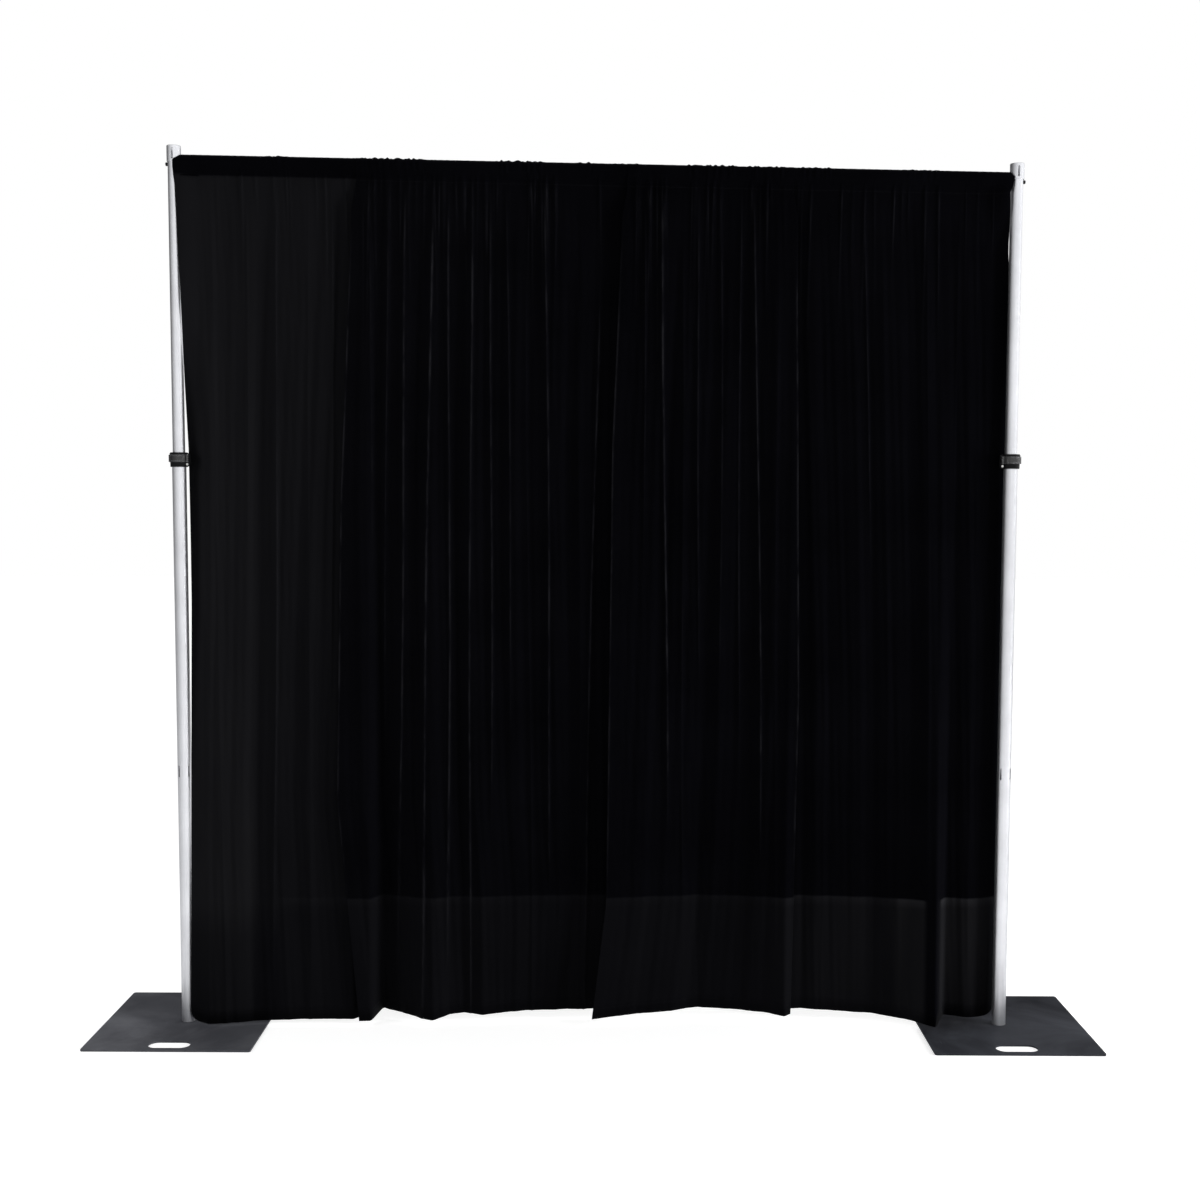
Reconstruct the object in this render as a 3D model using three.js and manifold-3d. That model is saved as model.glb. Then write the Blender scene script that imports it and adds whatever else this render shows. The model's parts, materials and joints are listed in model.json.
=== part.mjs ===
// Pipe and drape backdrop: two telescoping uprights that stand on steel base plates, a telescoping
// crossbar hooked into their slotted heads, and four drape panels gathered on the crossbar.
// Millimetres, +Z up. X runs along the crossbar and -Y is the front. The origin lies on the floor,
// midway between the uprights.

import * as THREE from 'three';
import { mergeVertices } from 'three/addons/utils/BufferGeometryUtils.js';
import Module from 'manifold-3d';

const wasm = await Module();
wasm.setup();

const degree = Math.PI / 180;

// Set-up: where the uprights stand and how far each mast is pulled out
const uprightSpacing = 3048;
const leftHeadHeight = 3240;
const rightHeadDrop = 60;

// Fits and facets
const runningGap = 0.3;
const cutOverrun = 3;
const hairline = 0.001;
const tubeSides = 32;
const smallSides = 16;
const boltSides = 12;
const hexSides = 6;
const slotSteps = 1;
const roundSteps = 3;
const leverSteps = 12;

// Base plate, its carrying slot, and the spigot that the upright stands on
const plateSize = 609.6;
const plateThickness = 6.35;
const plateCornerRadius = 9;
const carrySlotLength = 152;
const carrySlotWidth = 65;
const carrySlotMargin = 23;
const spigotGap = 0.75;
const spigotHeight = 150;
const spigotChamfer = 4;
const spigotBoltRadius = 6;
const spigotBoltHeadRadius = 11;
const spigotBoltGrip = 38;
const hexKeyRadius = 3.5;
const hexKeyDepth = 3.2;

// Lower tube, with its four slots for a lower crossbar
const lowerTubeRadius = 25.4;
const lowerTubeWall = 1.65;
const lowerTubeTop = 2110;
const midSlotBottom = 936;
const midSlotHeight = 42;
const midSlotWidth = 6.5;
const slotCornerRadius = 0.7;
const leftLowerTurn = -36 * degree;
const rightLowerTurn = -42 * degree;

// Upper tube and the nylon glide in its lower end
const telescopeGap = 1.525;
const upperTubeRadius = lowerTubeRadius - lowerTubeWall - telescopeGap;
const upperTubeWall = 1.65;
const upperTubeBore = upperTubeRadius - upperTubeWall;
const upperTubeLength = 2000;
const glideRimHeight = 8;
const glidePlugLength = 24;
const glideWall = 2.6;

// Slotted head
const headWall = 2.875;
const headRadius = upperTubeRadius + runningGap + headWall;
const headBevel = 1;
const headSlotWidth = 6.5;
const headSlotHeight = 38;
const headSlotDrop = 11;
const headRim = 8;
const headHeight = headSlotDrop + headSlotHeight + headRim;

// Snap button under the head, and the bent leaf spring behind it
const buttonRadius = 6.8;
const buttonProud = 8.6;
const buttonCrown = 2.4;
const buttonHeadGap = 1.2;
const buttonDrop = headHeight + buttonRadius + buttonHeadGap;
const buttonFlangeLip = 1.8;
const buttonFlangeThickness = 2;
const springThickness = 0.9;
const springWidth = 10;
const springLength = 62;
const springWallArmDrop = 19;
const springBendRadius = 3.2;

// Lock collar where the two tubes meet
const collarGrip = 26.5;
const collarBottom = lowerTubeTop - collarGrip;
const collarHeight = 53;
const collarTop = collarBottom + collarHeight;
const collarWall = 7.8;
const collarTopRadius = lowerTubeRadius + runningGap + collarWall;
const collarTaper = 2.1;
const collarBevel = 3;
const earProud = 5.7;
const earReach = collarTopRadius + earProud;
const earHalfThickness = 9.6;
const earInset = 2.5;
const earCornerRadius = 4;
const collarSlit = 2.4;

// Cam lever, its pin and its eye bolt
const leverHeight = 26.5;
const leverTopInset = 8.5;
const leverTop = collarTop - leverTopInset;
const leverBottom = leverTop - leverHeight;
const leverMiddle = (leverTop + leverBottom) / 2;
const leverThickness = 3.6;
const leverPocketDepth = 3;
const leverPocketRadius = collarTopRadius - leverPocketDepth;
const leverInnerRadius = leverPocketRadius + 2 * runningGap;
const leverOuterRadius = leverInnerRadius + leverThickness;
const leverStart = -28 * degree;
const leverEnd = -166 * degree;
const leverLip = 2.4;
const leverLipAngle = 4 * degree;
const leverEndGap = 1.2;
const recessDepth = 1;
const recessBorder = 4.5;
const recessStart = -58 * degree;
const recessEnd = -142 * degree;
const leverPinRadius = 2;
const camRadius = 6.5;
const camOffset = 0.7;
const camGap = 0.4;
const pinReach = collarTopRadius;
const pinStandoff = earHalfThickness + camGap + camRadius + camOffset;
const eyeBoltRadius = 2.5;
const eyeRadius = 4.2;
const eyeThickness = 6;
const boltRoomStart = -45 * degree;
const boltRoomEnd = 130 * degree;

// Lower clamp screw, and the two square nuts behind the ears
const clampScrewRise = 9.5;
const clampScrewRadius = 2.5;
const clampHeadRadius = 4.2;
const clampHeadLength = 5;
const nutWidth = 8;
const nutThickness = 4;
const nutSeatShare = 0.76;
const screwEndProud = 1.5;

// Crossbar tubes, the bush in the outer mouth and the glide on the inner end
const barOverlap = 448;
const barEndGap = 3;
const outerBarRadius = 19.05;
const outerBarWall = 1.65;
const outerBarBore = outerBarRadius - outerBarWall;
const barTelescopeGap = 1.525;
const innerBarRadius = outerBarBore - barTelescopeGap;
const innerBarWall = 1.65;
const innerBarBore = innerBarRadius - innerBarWall;
const bushFlange = 5;
const bushSleeveLength = 22;
const barGlideRim = 7;
const barGlidePlug = 22;
const barGlideWall = 2.4;

// Crossbar hook, the plug that grips it and the cross rivet
const hookThickness = 5;
const hookSeatRise = 2;
const hookNeckShare = 0.9;
const hookTongueDrop = 19;
const hookTongueWidth = 7;
const hookTongueGap = 0.9;
const hookTailLength = 34;
const hookTailShare = 0.76;
const plugLength = 46;
const rivetRadius = 3;
const rivetInset = 24;
const rivetHeadRadius = 5;
const rivetHeadHeight = 1.1;

// Drape panels: cloth, rod pocket and skirt
const clothThickness = 1.6;
const clothSeat = 0.3;
const clothClearance = 1.3;
const pocketSlack = 6;
const pocketStepLength = 60;
const pocketDrop = 56;
const seamSwing = 1.5;
const seamLap = 0.5;
const headStandoff = headRadius + clothThickness / 2 + clothClearance;
const endFlareLength = 80;
const commonReachShare = 1.3;
const edgeStrip = 18;
const panelButtGap = 3;
const panelOverlap = 16;
const panelLane = 12;
const panelLaneFade = 250;
const seamLaneShare = 0.25;
const selvedgeStandoff = 6.5;
const selvedgeReach = collarTopRadius + selvedgeStandoff;
const selvedgeFade = 90;
const foldDepth = 17;
const foldEdgeShare = 0.2;
const hemSwing = 60;
const hemLow = 11.5;
const hemRise = 29;
const panelColumns = 27;

// Materials
const finish = (color, roughness, metalness) => new THREE.MeshStandardMaterial({ color, roughness, metalness });
const leftPlateSteel = finish('#4c4d50', 0.6, 0.2);
const rightPlateSteel = finish('#3c3d40', 0.6, 0.2);
const turnedSteel = finish('#a9abad', 0.35, 0.9);
const zincSteel = finish('#c3c5c6', 0.3, 0.9);
const anodisedAluminium = finish('#cfd0d1', 0.35, 0.85);
const springSteel = finish('#8d9094', 0.3, 0.9);
const blackNylon = finish('#1a1a1b', 0.4, 0);
const blackAcetal = finish('#121213', 0.35, 0);
const greyNylon = finish('#8c8d8e', 0.55, 0);
const blackCloth = finish('#0c0d0e', 0.95, 0);

// Solids and their joining and cutting

function solid(geometry) {
  const bare = geometry.clone();
  bare.deleteAttribute('normal');
  bare.deleteAttribute('uv');
  const welded = mergeVertices(bare, hairline / 2);
  const index = welded.index.array;
  const triangles = [];
  for (let i = 0; i < index.length; i += 3) {
    const [a, b, c] = [index[i], index[i + 1], index[i + 2]];
    if (a !== b && b !== c && c !== a) triangles.push(a, b, c);
  }
  return new wasm.Manifold(new wasm.Mesh({
    numProp: 3,
    vertProperties: Float32Array.from(welded.attributes.position.array),
    triVerts: Uint32Array.from(triangles),
  }));
}

function geometryOf(body) {
  const mesh = body.getMesh();
  const geometry = new THREE.BufferGeometry();
  geometry.setAttribute('position', new THREE.BufferAttribute(Float32Array.from(mesh.vertProperties), 3));
  geometry.setIndex(new THREE.BufferAttribute(Uint32Array.from(mesh.triVerts), 1));
  geometry.computeVertexNormals();
  return geometry;
}

const cut = (body, ...tools) => tools.reduce((left, tool) => left.subtract(solid(tool)), body);
const join = (...geometries) => geometries.map(solid).reduce((whole, other) => whole.add(other));

// Plain shapes

// A closed profile of [radius, height] points, turned about Z.
function turned(profile, sides = tubeSides) {
  const points = profile.map(([radius, height]) => new THREE.Vector2(radius, height));
  let doubleArea = 0;
  points.forEach((point, i) => {
    doubleArea += point.cross(points[(i + 1) % points.length]);
  });
  if (doubleArea < 0) points.reverse();
  points.push(points[0].clone());
  return new THREE.LatheGeometry(points, sides).rotateX(Math.PI / 2);
}

const tubeZ = (outer, inner, bottom, top) =>
  turned([[inner, bottom], [outer, bottom], [outer, top], [inner, top]]);

const rodZ = (radius, bottom, top, sides = smallSides) =>
  new THREE.CylinderGeometry(radius, radius, top - bottom, sides)
    .rotateX(Math.PI / 2)
    .translate(0, 0, (bottom + top) / 2);

const rodY = (radius, from, to, sides = smallSides) =>
  new THREE.CylinderGeometry(radius, radius, to - from, sides).translate(0, (from + to) / 2, 0);

function block(from, to) {
  const size = from.map((value, i) => Math.abs(to[i] - value));
  const middle = from.map((value, i) => (to[i] + value) / 2);
  return new THREE.BoxGeometry(...size).translate(...middle);
}

const outline = (points) => new THREE.Shape(points.map(([x, y]) => new THREE.Vector2(x, y)));

const extruded = (shape, bottom, top, curveSegments = roundSteps) =>
  new THREE.ExtrudeGeometry(shape, { depth: top - bottom, bevelEnabled: false, curveSegments })
    .translate(0, 0, bottom);

// A shape drawn in X and Z, given its thickness along Y.
const slab = (shape, halfThickness, curveSegments) =>
  extruded(shape, -halfThickness, halfThickness, curveSegments).rotateX(Math.PI / 2);

function roundedRectangle(path, centreX, centreY, width, height, radius) {
  const x = width / 2 - radius;
  const y = height / 2 - radius;
  const corners = [[x, -y], [x, y], [-x, y], [-x, -y]];
  corners.forEach(([cornerX, cornerY], i) => {
    path.absarc(centreX + cornerX, centreY + cornerY, radius, (i - 1) * Math.PI / 2, i * Math.PI / 2);
  });
  return path;
}

const polar = (radius, angle) => [radius * Math.cos(angle), radius * Math.sin(angle)];

const arc = (radius, from, to, steps) =>
  Array.from({ length: steps + 1 }, (_, i) => polar(radius, THREE.MathUtils.lerp(from, to, i / steps)));

// Four upright slots round a tube, cut by two crossed bars.
function crossedSlots(width, bottom, height, radius) {
  const shape = roundedRectangle(new THREE.Shape(), 0, bottom + height / 2, width, height,
    slotCornerRadius);
  const alongY = slab(shape, radius + cutOverrun, slotSteps);
  return [alongY, alongY.clone().rotateZ(Math.PI / 2)];
}

function piece(parent, name, shape, material) {
  const body = shape.isBufferGeometry ? solid(shape) : shape;
  const mesh = new THREE.Mesh(geometryOf(body), material.clone());
  mesh.name = name;
  parent.add(mesh);
  return mesh;
}

// Base

function basePlate() {
  const shape = roundedRectangle(new THREE.Shape(), 0, 0, plateSize, plateSize, plateCornerRadius);
  const slotCentre = -plateSize / 2 + carrySlotMargin + carrySlotWidth / 2;
  shape.holes.push(roundedRectangle(new THREE.Path(), 0, slotCentre, carrySlotLength, carrySlotWidth,
    carrySlotWidth / 2 - hairline));
  const shank = spigotBoltRadius + runningGap;
  const countersink = spigotBoltHeadRadius + 3 * runningGap;
  const sunkDepth = countersink - shank;
  const boltHole = turned([
    [0, -cutOverrun],
    [countersink + cutOverrun, -cutOverrun],
    [shank, sunkDepth],
    [shank, plateThickness + cutOverrun],
    [0, plateThickness + cutOverrun],
  ], smallSides);
  return cut(solid(extruded(shape, 0, plateThickness)), boltHole);
}

function spigot() {
  const radius = lowerTubeRadius - lowerTubeWall - spigotGap;
  const seat = plateThickness + runningGap;
  const top = plateThickness + spigotHeight;
  const bore = spigotBoltRadius + runningGap;
  const boreTop = spigotBoltGrip + runningGap;
  return turned([
    [bore, seat],
    [radius, seat],
    [radius, top - spigotChamfer],
    [radius - spigotChamfer, top],
    [0, top],
    [0, boreTop],
    [bore, boreTop],
  ]);
}

// A countersunk bolt, flush with the underside of the plate.
function spigotBolt() {
  const sunkDepth = spigotBoltHeadRadius - spigotBoltRadius;
  const body = turned([
    [0, runningGap],
    [spigotBoltHeadRadius, runningGap],
    [spigotBoltRadius, sunkDepth + runningGap],
    [spigotBoltRadius, spigotBoltGrip],
    [0, spigotBoltGrip],
  ], smallSides);
  return cut(solid(body), rodZ(hexKeyRadius, -cutOverrun, runningGap + hexKeyDepth, hexSides));
}

// Upright tubes and head. The mast's pieces are drawn at the height of the head's top.

function lowerTube() {
  const bore = lowerTubeRadius - lowerTubeWall;
  const tube = tubeZ(lowerTubeRadius, bore, plateThickness + runningGap, lowerTubeTop);
  return cut(solid(tube), ...crossedSlots(midSlotWidth, midSlotBottom, midSlotHeight, lowerTubeRadius));
}

const headSlots = (headTop) =>
  crossedSlots(headSlotWidth, headTop - headSlotDrop - headSlotHeight, headSlotHeight, headRadius);

function upperTube(headTop, inward) {
  const top = headTop - headBevel;
  const tube = tubeZ(upperTubeRadius, upperTubeBore, top - upperTubeLength, top);
  const buttonHole = rodY(buttonRadius + runningGap, 0, upperTubeRadius + cutOverrun)
    .rotateZ(inward * Math.PI / 2)
    .translate(0, 0, headTop - buttonDrop);
  return cut(solid(tube), buttonHole, ...headSlots(headTop));
}

function upperGlide(headTop) {
  const tubeEnd = headTop - headBevel - upperTubeLength;
  const rimTop = tubeEnd - runningGap;
  const rim = lowerTubeRadius - lowerTubeWall - runningGap;
  const plug = upperTubeBore - runningGap;
  return turned([
    [plug - glideWall, rimTop - glideRimHeight],
    [rim, rimTop - glideRimHeight],
    [rim, rimTop],
    [plug, rimTop],
    [plug, tubeEnd + glidePlugLength],
    [plug - glideWall, tubeEnd + glidePlugLength],
  ]);
}

function slottedHead(headTop) {
  const bore = upperTubeRadius + runningGap;
  const bottom = headTop - headHeight;
  const sleeve = turned([
    [bore, bottom],
    [headRadius - headBevel, bottom],
    [headRadius, bottom + headBevel],
    [headRadius, headTop - headBevel],
    [headRadius - headBevel, headTop],
    [bore, headTop],
  ]);
  return cut(solid(sleeve), ...headSlots(headTop));
}

// The button's flange is flat, so it lies as deep as the round wall of the tube lets it.
const buttonFlangeRadius = buttonRadius + buttonFlangeLip;
const buttonFlangeFace = Math.sqrt(upperTubeBore ** 2 - buttonFlangeRadius ** 2) - runningGap;
const buttonFlangeBack = buttonFlangeFace - buttonFlangeThickness;

function snapButton(headTop, inward) {
  const nose = upperTubeRadius + buttonProud;
  return turned([
    [0, buttonFlangeBack],
    [buttonFlangeRadius, buttonFlangeBack],
    [buttonFlangeRadius, buttonFlangeFace],
    [buttonRadius, buttonFlangeFace],
    [buttonRadius, nose - buttonCrown],
    [buttonRadius - buttonCrown / 2, nose - buttonCrown / 3],
    [0, nose],
  ], smallSides).rotateY(-inward * Math.PI / 2).translate(0, 0, headTop - buttonDrop);
}

// A leaf bent into a V: one arm bears on the button, the other on the wall across the tube.
function buttonSpring(headTop, inward) {
  const buttonSide = buttonFlangeBack - runningGap;
  const wallSide = runningGap - Math.sqrt(upperTubeBore ** 2 - (springWidth / 2) ** 2);
  const armTop = headTop - buttonDrop + buttonFlangeRadius;
  const wallTop = armTop - springWallArmDrop;
  const bend = armTop - springLength;
  const outerBend = arc(springBendRadius, Math.PI, 2 * Math.PI, roundSteps);
  const innerBend = arc(springBendRadius - springThickness, 2 * Math.PI, Math.PI, roundSteps);
  const points = [
    [wallSide, wallTop],
    ...outerBend.map(([x, z]) => [x, z + bend]),
    [buttonSide, armTop],
    [buttonSide - springThickness, armTop],
    ...innerBend.map(([x, z]) => [x, z + bend]),
    [wallSide + springThickness, wallTop],
  ];
  return slab(outline(points.map(([x, z]) => [-inward * x, z])), springWidth / 2);
}

// Lock collar. Its ears, bolts and lever pin lie on the inward side of the upright.

function lockBody(inward) {
  const lowerBore = lowerTubeRadius + runningGap;
  const upperBore = upperTubeRadius + runningGap;
  const step = lowerTubeTop + runningGap;
  const footRadius = collarTopRadius - collarTaper;
  const footBevel = collarBevel / 3;
  const ring = turned([
    [lowerBore, collarBottom],
    [footRadius - footBevel, collarBottom],
    [footRadius, collarBottom + footBevel],
    [collarTopRadius, collarTop - collarBevel],
    [collarTopRadius - collarBevel, collarTop],
    [upperBore, collarTop],
    [upperBore, step],
    [lowerBore, step],
  ]);
  const boreRoom = turned([
    [0, collarBottom - cutOverrun],
    [lowerBore, collarBottom - cutOverrun],
    [lowerBore, step],
    [upperBore, step],
    [upperBore, collarTop + cutOverrun],
    [0, collarTop + cutOverrun],
  ]);
  const earShape = roundedRectangle(new THREE.Shape(), inward * (earReach + upperTubeRadius) / 2,
    (collarTop + collarBottom) / 2, earReach - upperTubeRadius, collarHeight - 2 * earInset,
    earCornerRadius);
  const slit = block(
    [inward * upperTubeRadius / 2, -collarSlit / 2, collarBottom - cutOverrun],
    [inward * (earReach + cutOverrun), collarSlit / 2, collarTop + cutOverrun]);
  const pocketStart = -Math.asin((earHalfThickness + runningGap) / leverPocketRadius);
  const pocketEnd = leverEnd - leverEndGap / leverPocketRadius;
  const pocket = extruded(outline([
    ...arc(leverPocketRadius, pocketStart, pocketEnd, leverSteps),
    ...arc(earReach + cutOverrun, pocketEnd, pocketStart, leverSteps),
  ].map(([x, y]) => [inward * x, y])), leverBottom - runningGap, leverTop + runningGap);
  const camRoom = rodZ(camRadius + camOffset + runningGap, leverBottom - runningGap,
    leverTop + runningGap).translate(inward * pinReach, -pinStandoff, 0);
  const eyeBoltHole = rodY(eyeBoltRadius + runningGap, -earReach, earReach, boltSides)
    .translate(inward * pinReach, 0, leverMiddle);
  const screwHeight = collarBottom + clampScrewRise;
  const screwHole = rodY(clampScrewRadius + runningGap, -earReach, earReach, boltSides)
    .translate(inward * pinReach, 0, screwHeight);
  const headSeat = rodY(clampHeadRadius + runningGap, -earReach, -earHalfThickness)
    .translate(inward * pinReach, 0, screwHeight);
  const nutSeats = [screwHeight, leverMiddle].map((height) =>
    rodY(nutWidth * nutSeatShare, earHalfThickness, earReach).translate(inward * pinReach, 0, height));
  return cut(join(ring, slab(earShape, earHalfThickness, slotSteps)), boreRoom, slit, pocket, camRoom,
    eyeBoltHole, screwHole, headSeat, ...nutSeats);
}

// The lever is a curved plate round the front of the collar, in one with a cam that turns on a pin.
function lockLever(inward) {
  const arm = extruded(outline([
    ...arc(leverInnerRadius, leverStart, leverEnd, leverSteps),
    polar(leverOuterRadius + leverLip, leverEnd),
    ...arc(leverOuterRadius, leverEnd + leverLipAngle, leverStart, leverSteps),
  ].map(([x, y]) => [inward * x, y])), leverBottom, leverTop);
  const atPin = [inward * pinReach, -pinStandoff, 0];
  const cam = rodZ(camRadius, leverBottom, leverTop).translate(inward * pinReach, camOffset - pinStandoff, 0);
  const pinHole = rodZ(leverPinRadius + runningGap, leverBottom - cutOverrun, leverTop + cutOverrun, boltSides)
    .translate(...atPin);
  const eyeHalf = eyeThickness / 2 + runningGap;
  const eyeRoom = rodZ(eyeRadius + runningGap, leverMiddle - eyeHalf, leverMiddle + eyeHalf)
    .translate(...atPin);
  const boltRoom = extruded(outline([
    [0, 0],
    ...arc(2 * camRadius, boltRoomStart, boltRoomEnd, roundSteps),
  ].map(([x, y]) => [inward * x, y])), leverMiddle - eyeHalf, leverMiddle + eyeHalf).translate(...atPin);
  const recess = extruded(outline([
    ...arc(leverOuterRadius - recessDepth, recessStart, recessEnd, leverSteps),
    ...arc(leverOuterRadius + cutOverrun, recessEnd, recessStart, leverSteps),
  ].map(([x, y]) => [inward * x, y])), leverBottom + recessBorder, leverTop - recessBorder);
  return cut(join(arm, cam), pinHole, eyeRoom, boltRoom, recess);
}

const leverPin = (inward) =>
  rodZ(leverPinRadius, leverBottom, leverTop, boltSides).translate(inward * pinReach, -pinStandoff, 0);

const nutSeat = earHalfThickness + runningGap;
const screwEnd = nutSeat + nutThickness + screwEndProud;

// The eye sits on the lever's pin, and the shank runs through both ears to its nut.
function leverBolt(inward) {
  const half = eyeThickness / 2;
  const eye = rodZ(eyeRadius, leverMiddle - half, leverMiddle + half).translate(0, -pinStandoff, 0);
  const shank = rodY(eyeBoltRadius, -pinStandoff, screwEnd, boltSides).translate(0, 0, leverMiddle);
  const pinHole = rodZ(leverPinRadius + runningGap, leverMiddle - half - cutOverrun,
    leverMiddle + half + cutOverrun, boltSides).translate(0, -pinStandoff, 0);
  return cut(join(eye, shank), pinHole).translate([inward * pinReach, 0, 0]);
}

function clampScrew(inward) {
  const head = rodY(clampHeadRadius, -nutSeat - clampHeadLength, -nutSeat);
  const shank = rodY(clampScrewRadius, -nutSeat - clampHeadLength / 3, screwEnd, boltSides);
  const socket = rodY(clampScrewRadius, -nutSeat - clampHeadLength - cutOverrun,
    -nutSeat - clampHeadLength / 2, hexSides);
  return cut(join(shank, head), socket)
    .translate([inward * pinReach, 0, collarBottom + clampScrewRise]);
}

function squareNut(inward, height) {
  const half = nutWidth / 2;
  const body = block([-half, nutSeat, -half], [half, nutSeat + nutThickness, half]);
  const thread = rodY(clampScrewRadius + runningGap, nutSeat - cutOverrun,
    nutSeat + nutThickness + cutOverrun, boltSides);
  return cut(solid(body), thread).translate([inward * pinReach, 0, height]);
}

// One upright. The sign of inward says which way the crossbar leaves it: +1 is the left upright.
function upright(side, inward, headTop, lowerTurn, plateSteel) {
  const stand = new THREE.Group();
  stand.name = `${side}_stand`;
  stand.position.x = -inward * uprightSpacing / 2;
  piece(stand, `${side}_base_plate`, basePlate(), plateSteel);
  piece(stand, `${side}_spigot`, spigot(), turnedSteel);
  piece(stand, `${side}_spigot_bolt`, spigotBolt(), zincSteel);
  piece(stand, `${side}_lower_tube`, lowerTube(), anodisedAluminium).rotation.z = lowerTurn;
  piece(stand, `${side}_upper_tube`, upperTube(headTop, inward), anodisedAluminium);
  piece(stand, `${side}_upper_glide`, upperGlide(headTop), greyNylon);
  piece(stand, `${side}_head`, slottedHead(headTop), anodisedAluminium);
  piece(stand, `${side}_head_button`, snapButton(headTop, inward), blackAcetal);
  piece(stand, `${side}_button_spring`, buttonSpring(headTop, inward), springSteel);
  piece(stand, `${side}_lock_body`, lockBody(inward), blackNylon);
  piece(stand, `${side}_lock_lever`, lockLever(inward), blackNylon);
  piece(stand, `${side}_lever_pin`, leverPin(inward), zincSteel);
  piece(stand, `${side}_lever_bolt`, leverBolt(inward), zincSteel);
  piece(stand, `${side}_lock_screw`, clampScrew(inward), zincSteel);
  piece(stand, `${side}_lever_nut`, squareNut(inward, leverMiddle), zincSteel);
  piece(stand, `${side}_lock_screw_nut`, squareNut(inward, collarBottom + clampScrewRise), zincSteel);
  return stand;
}

// Crossbar. Its pieces lie along X from the left upright's axis, level, before the bar is tilted.

const barDrop = headSlotDrop + headSlotHeight + hookSeatRise;
const barTilt = Math.atan(rightHeadDrop / uprightSpacing);
const barSpan = uprightSpacing / Math.cos(barTilt);
const barEnd = headRadius + barEndGap;
const tubeLength = (barSpan - 2 * barEnd + barOverlap) / 2;
const outerBarMouth = barEnd + tubeLength;
const innerBarStart = barSpan - barEnd - tubeLength;

const layAlongX = (geometry) => geometry.rotateY(Math.PI / 2);

const rivetHole = (x) =>
  rodY(rivetRadius + runningGap, -outerBarRadius - cutOverrun, outerBarRadius + cutOverrun, boltSides)
    .translate(x, 0, 0);

const outerBar = () =>
  cut(solid(layAlongX(tubeZ(outerBarRadius, outerBarBore, barEnd, outerBarMouth))),
    rivetHole(barEnd + rivetInset));

const innerBar = () =>
  cut(solid(layAlongX(tubeZ(innerBarRadius, innerBarBore, innerBarStart, barSpan - barEnd))),
    rivetHole(barSpan - barEnd - rivetInset));

function barBush() {
  const bore = innerBarRadius + runningGap;
  const sleeve = outerBarBore - runningGap;
  return layAlongX(turned([
    [bore, outerBarMouth - bushSleeveLength],
    [sleeve, outerBarMouth - bushSleeveLength],
    [sleeve, outerBarMouth + runningGap],
    [outerBarRadius, outerBarMouth + runningGap],
    [outerBarRadius, outerBarMouth + bushFlange],
    [bore, outerBarMouth + bushFlange],
  ]));
}

function barGlide() {
  const rim = outerBarBore - runningGap;
  const rimEnd = innerBarStart - runningGap;
  const plug = innerBarBore - runningGap;
  return layAlongX(turned([
    [plug - barGlideWall, rimEnd - barGlideRim],
    [rim, rimEnd - barGlideRim],
    [rim, rimEnd],
    [plug, rimEnd],
    [plug, innerBarStart + barGlidePlug],
    [plug - barGlideWall, innerBarStart + barGlidePlug],
  ]));
}

// The neck rests on the lower end of the head's slot. The tilt of the bar lowers it there at the
// left end and lifts it at the right end, so each hook is cut to suit.
function hook(barBore, inward) {
  const neckBottom = hookSeatRise + runningGap + inward * headRadius * Math.sin(barTilt);
  const neckTop = barBore * hookNeckShare;
  const face = upperTubeBore - hookTongueGap;
  const back = face - hookTongueWidth;
  const tip = neckBottom - hookTongueDrop;
  const bevel = hookTongueWidth / 3;
  const tail = barEnd + hookTailLength;
  const tailBottom = -barBore * hookTailShare;
  const plate = slab(outline([
    [back, neckTop - bevel],
    [back, tip + bevel],
    [back + bevel, tip],
    [face - bevel, tip],
    [face, tip + bevel],
    [face, neckBottom],
    [barEnd, neckBottom],
    [barEnd, tailBottom],
    [tail, tailBottom],
    [tail, neckTop],
    [back + bevel, neckTop],
  ]), hookThickness / 2);
  return cut(solid(plate), rivetHole(barEnd + rivetInset));
}

function hookPlug(barBore) {
  const radius = barBore - runningGap;
  const start = barEnd + runningGap;
  const room = hookThickness / 2 + runningGap;
  const sawCut = block(
    [barEnd - cutOverrun, -room, -radius - cutOverrun],
    [barEnd + hookTailLength + runningGap, room, radius + cutOverrun]);
  const body = layAlongX(rodZ(radius, start, start + plugLength, tubeSides));
  return cut(solid(body), sawCut, rivetHole(barEnd + rivetInset));
}

function crossRivet(barRadius) {
  const seat = barRadius + runningGap;
  return join(
    rodY(rivetRadius, -seat, seat, boltSides),
    rodY(rivetHeadRadius, seat, seat + rivetHeadHeight),
    rodY(rivetHeadRadius, -seat - rivetHeadHeight, -seat),
  ).translate([barEnd + rivetInset, 0, 0]);
}

function crossbar() {
  const bar = new THREE.Group();
  bar.name = 'crossbar';
  bar.position.set(-uprightSpacing / 2, 0, leftHeadHeight - barDrop);
  bar.rotation.y = barTilt;
  piece(bar, 'crossbar_outer_tube', outerBar(), anodisedAluminium);
  piece(bar, 'crossbar_bush', barBush(), blackAcetal);
  piece(bar, 'left_hook', hook(outerBarBore, 1), zincSteel);
  piece(bar, 'left_hook_plug', hookPlug(outerBarBore), turnedSteel);
  piece(bar, 'left_hook_rivet', crossRivet(outerBarRadius), zincSteel);
  piece(bar, 'crossbar_inner_tube', innerBar(), anodisedAluminium);
  piece(bar, 'crossbar_glide', barGlide(), blackAcetal);
  const rightEnd = [
    piece(bar, 'right_hook', hook(innerBarBore, -1), zincSteel),
    piece(bar, 'right_hook_plug', hookPlug(innerBarBore), turnedSteel),
    piece(bar, 'right_hook_rivet', crossRivet(innerBarRadius), zincSteel),
  ];
  rightEnd.forEach((mesh) => {
    mesh.position.x = barSpan;
    mesh.rotation.z = Math.PI;
  });
  return bar;
}

// Drape. Each panel is one sheet: a rod pocket round the crossbar, sewn to itself, and a skirt below.

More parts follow.
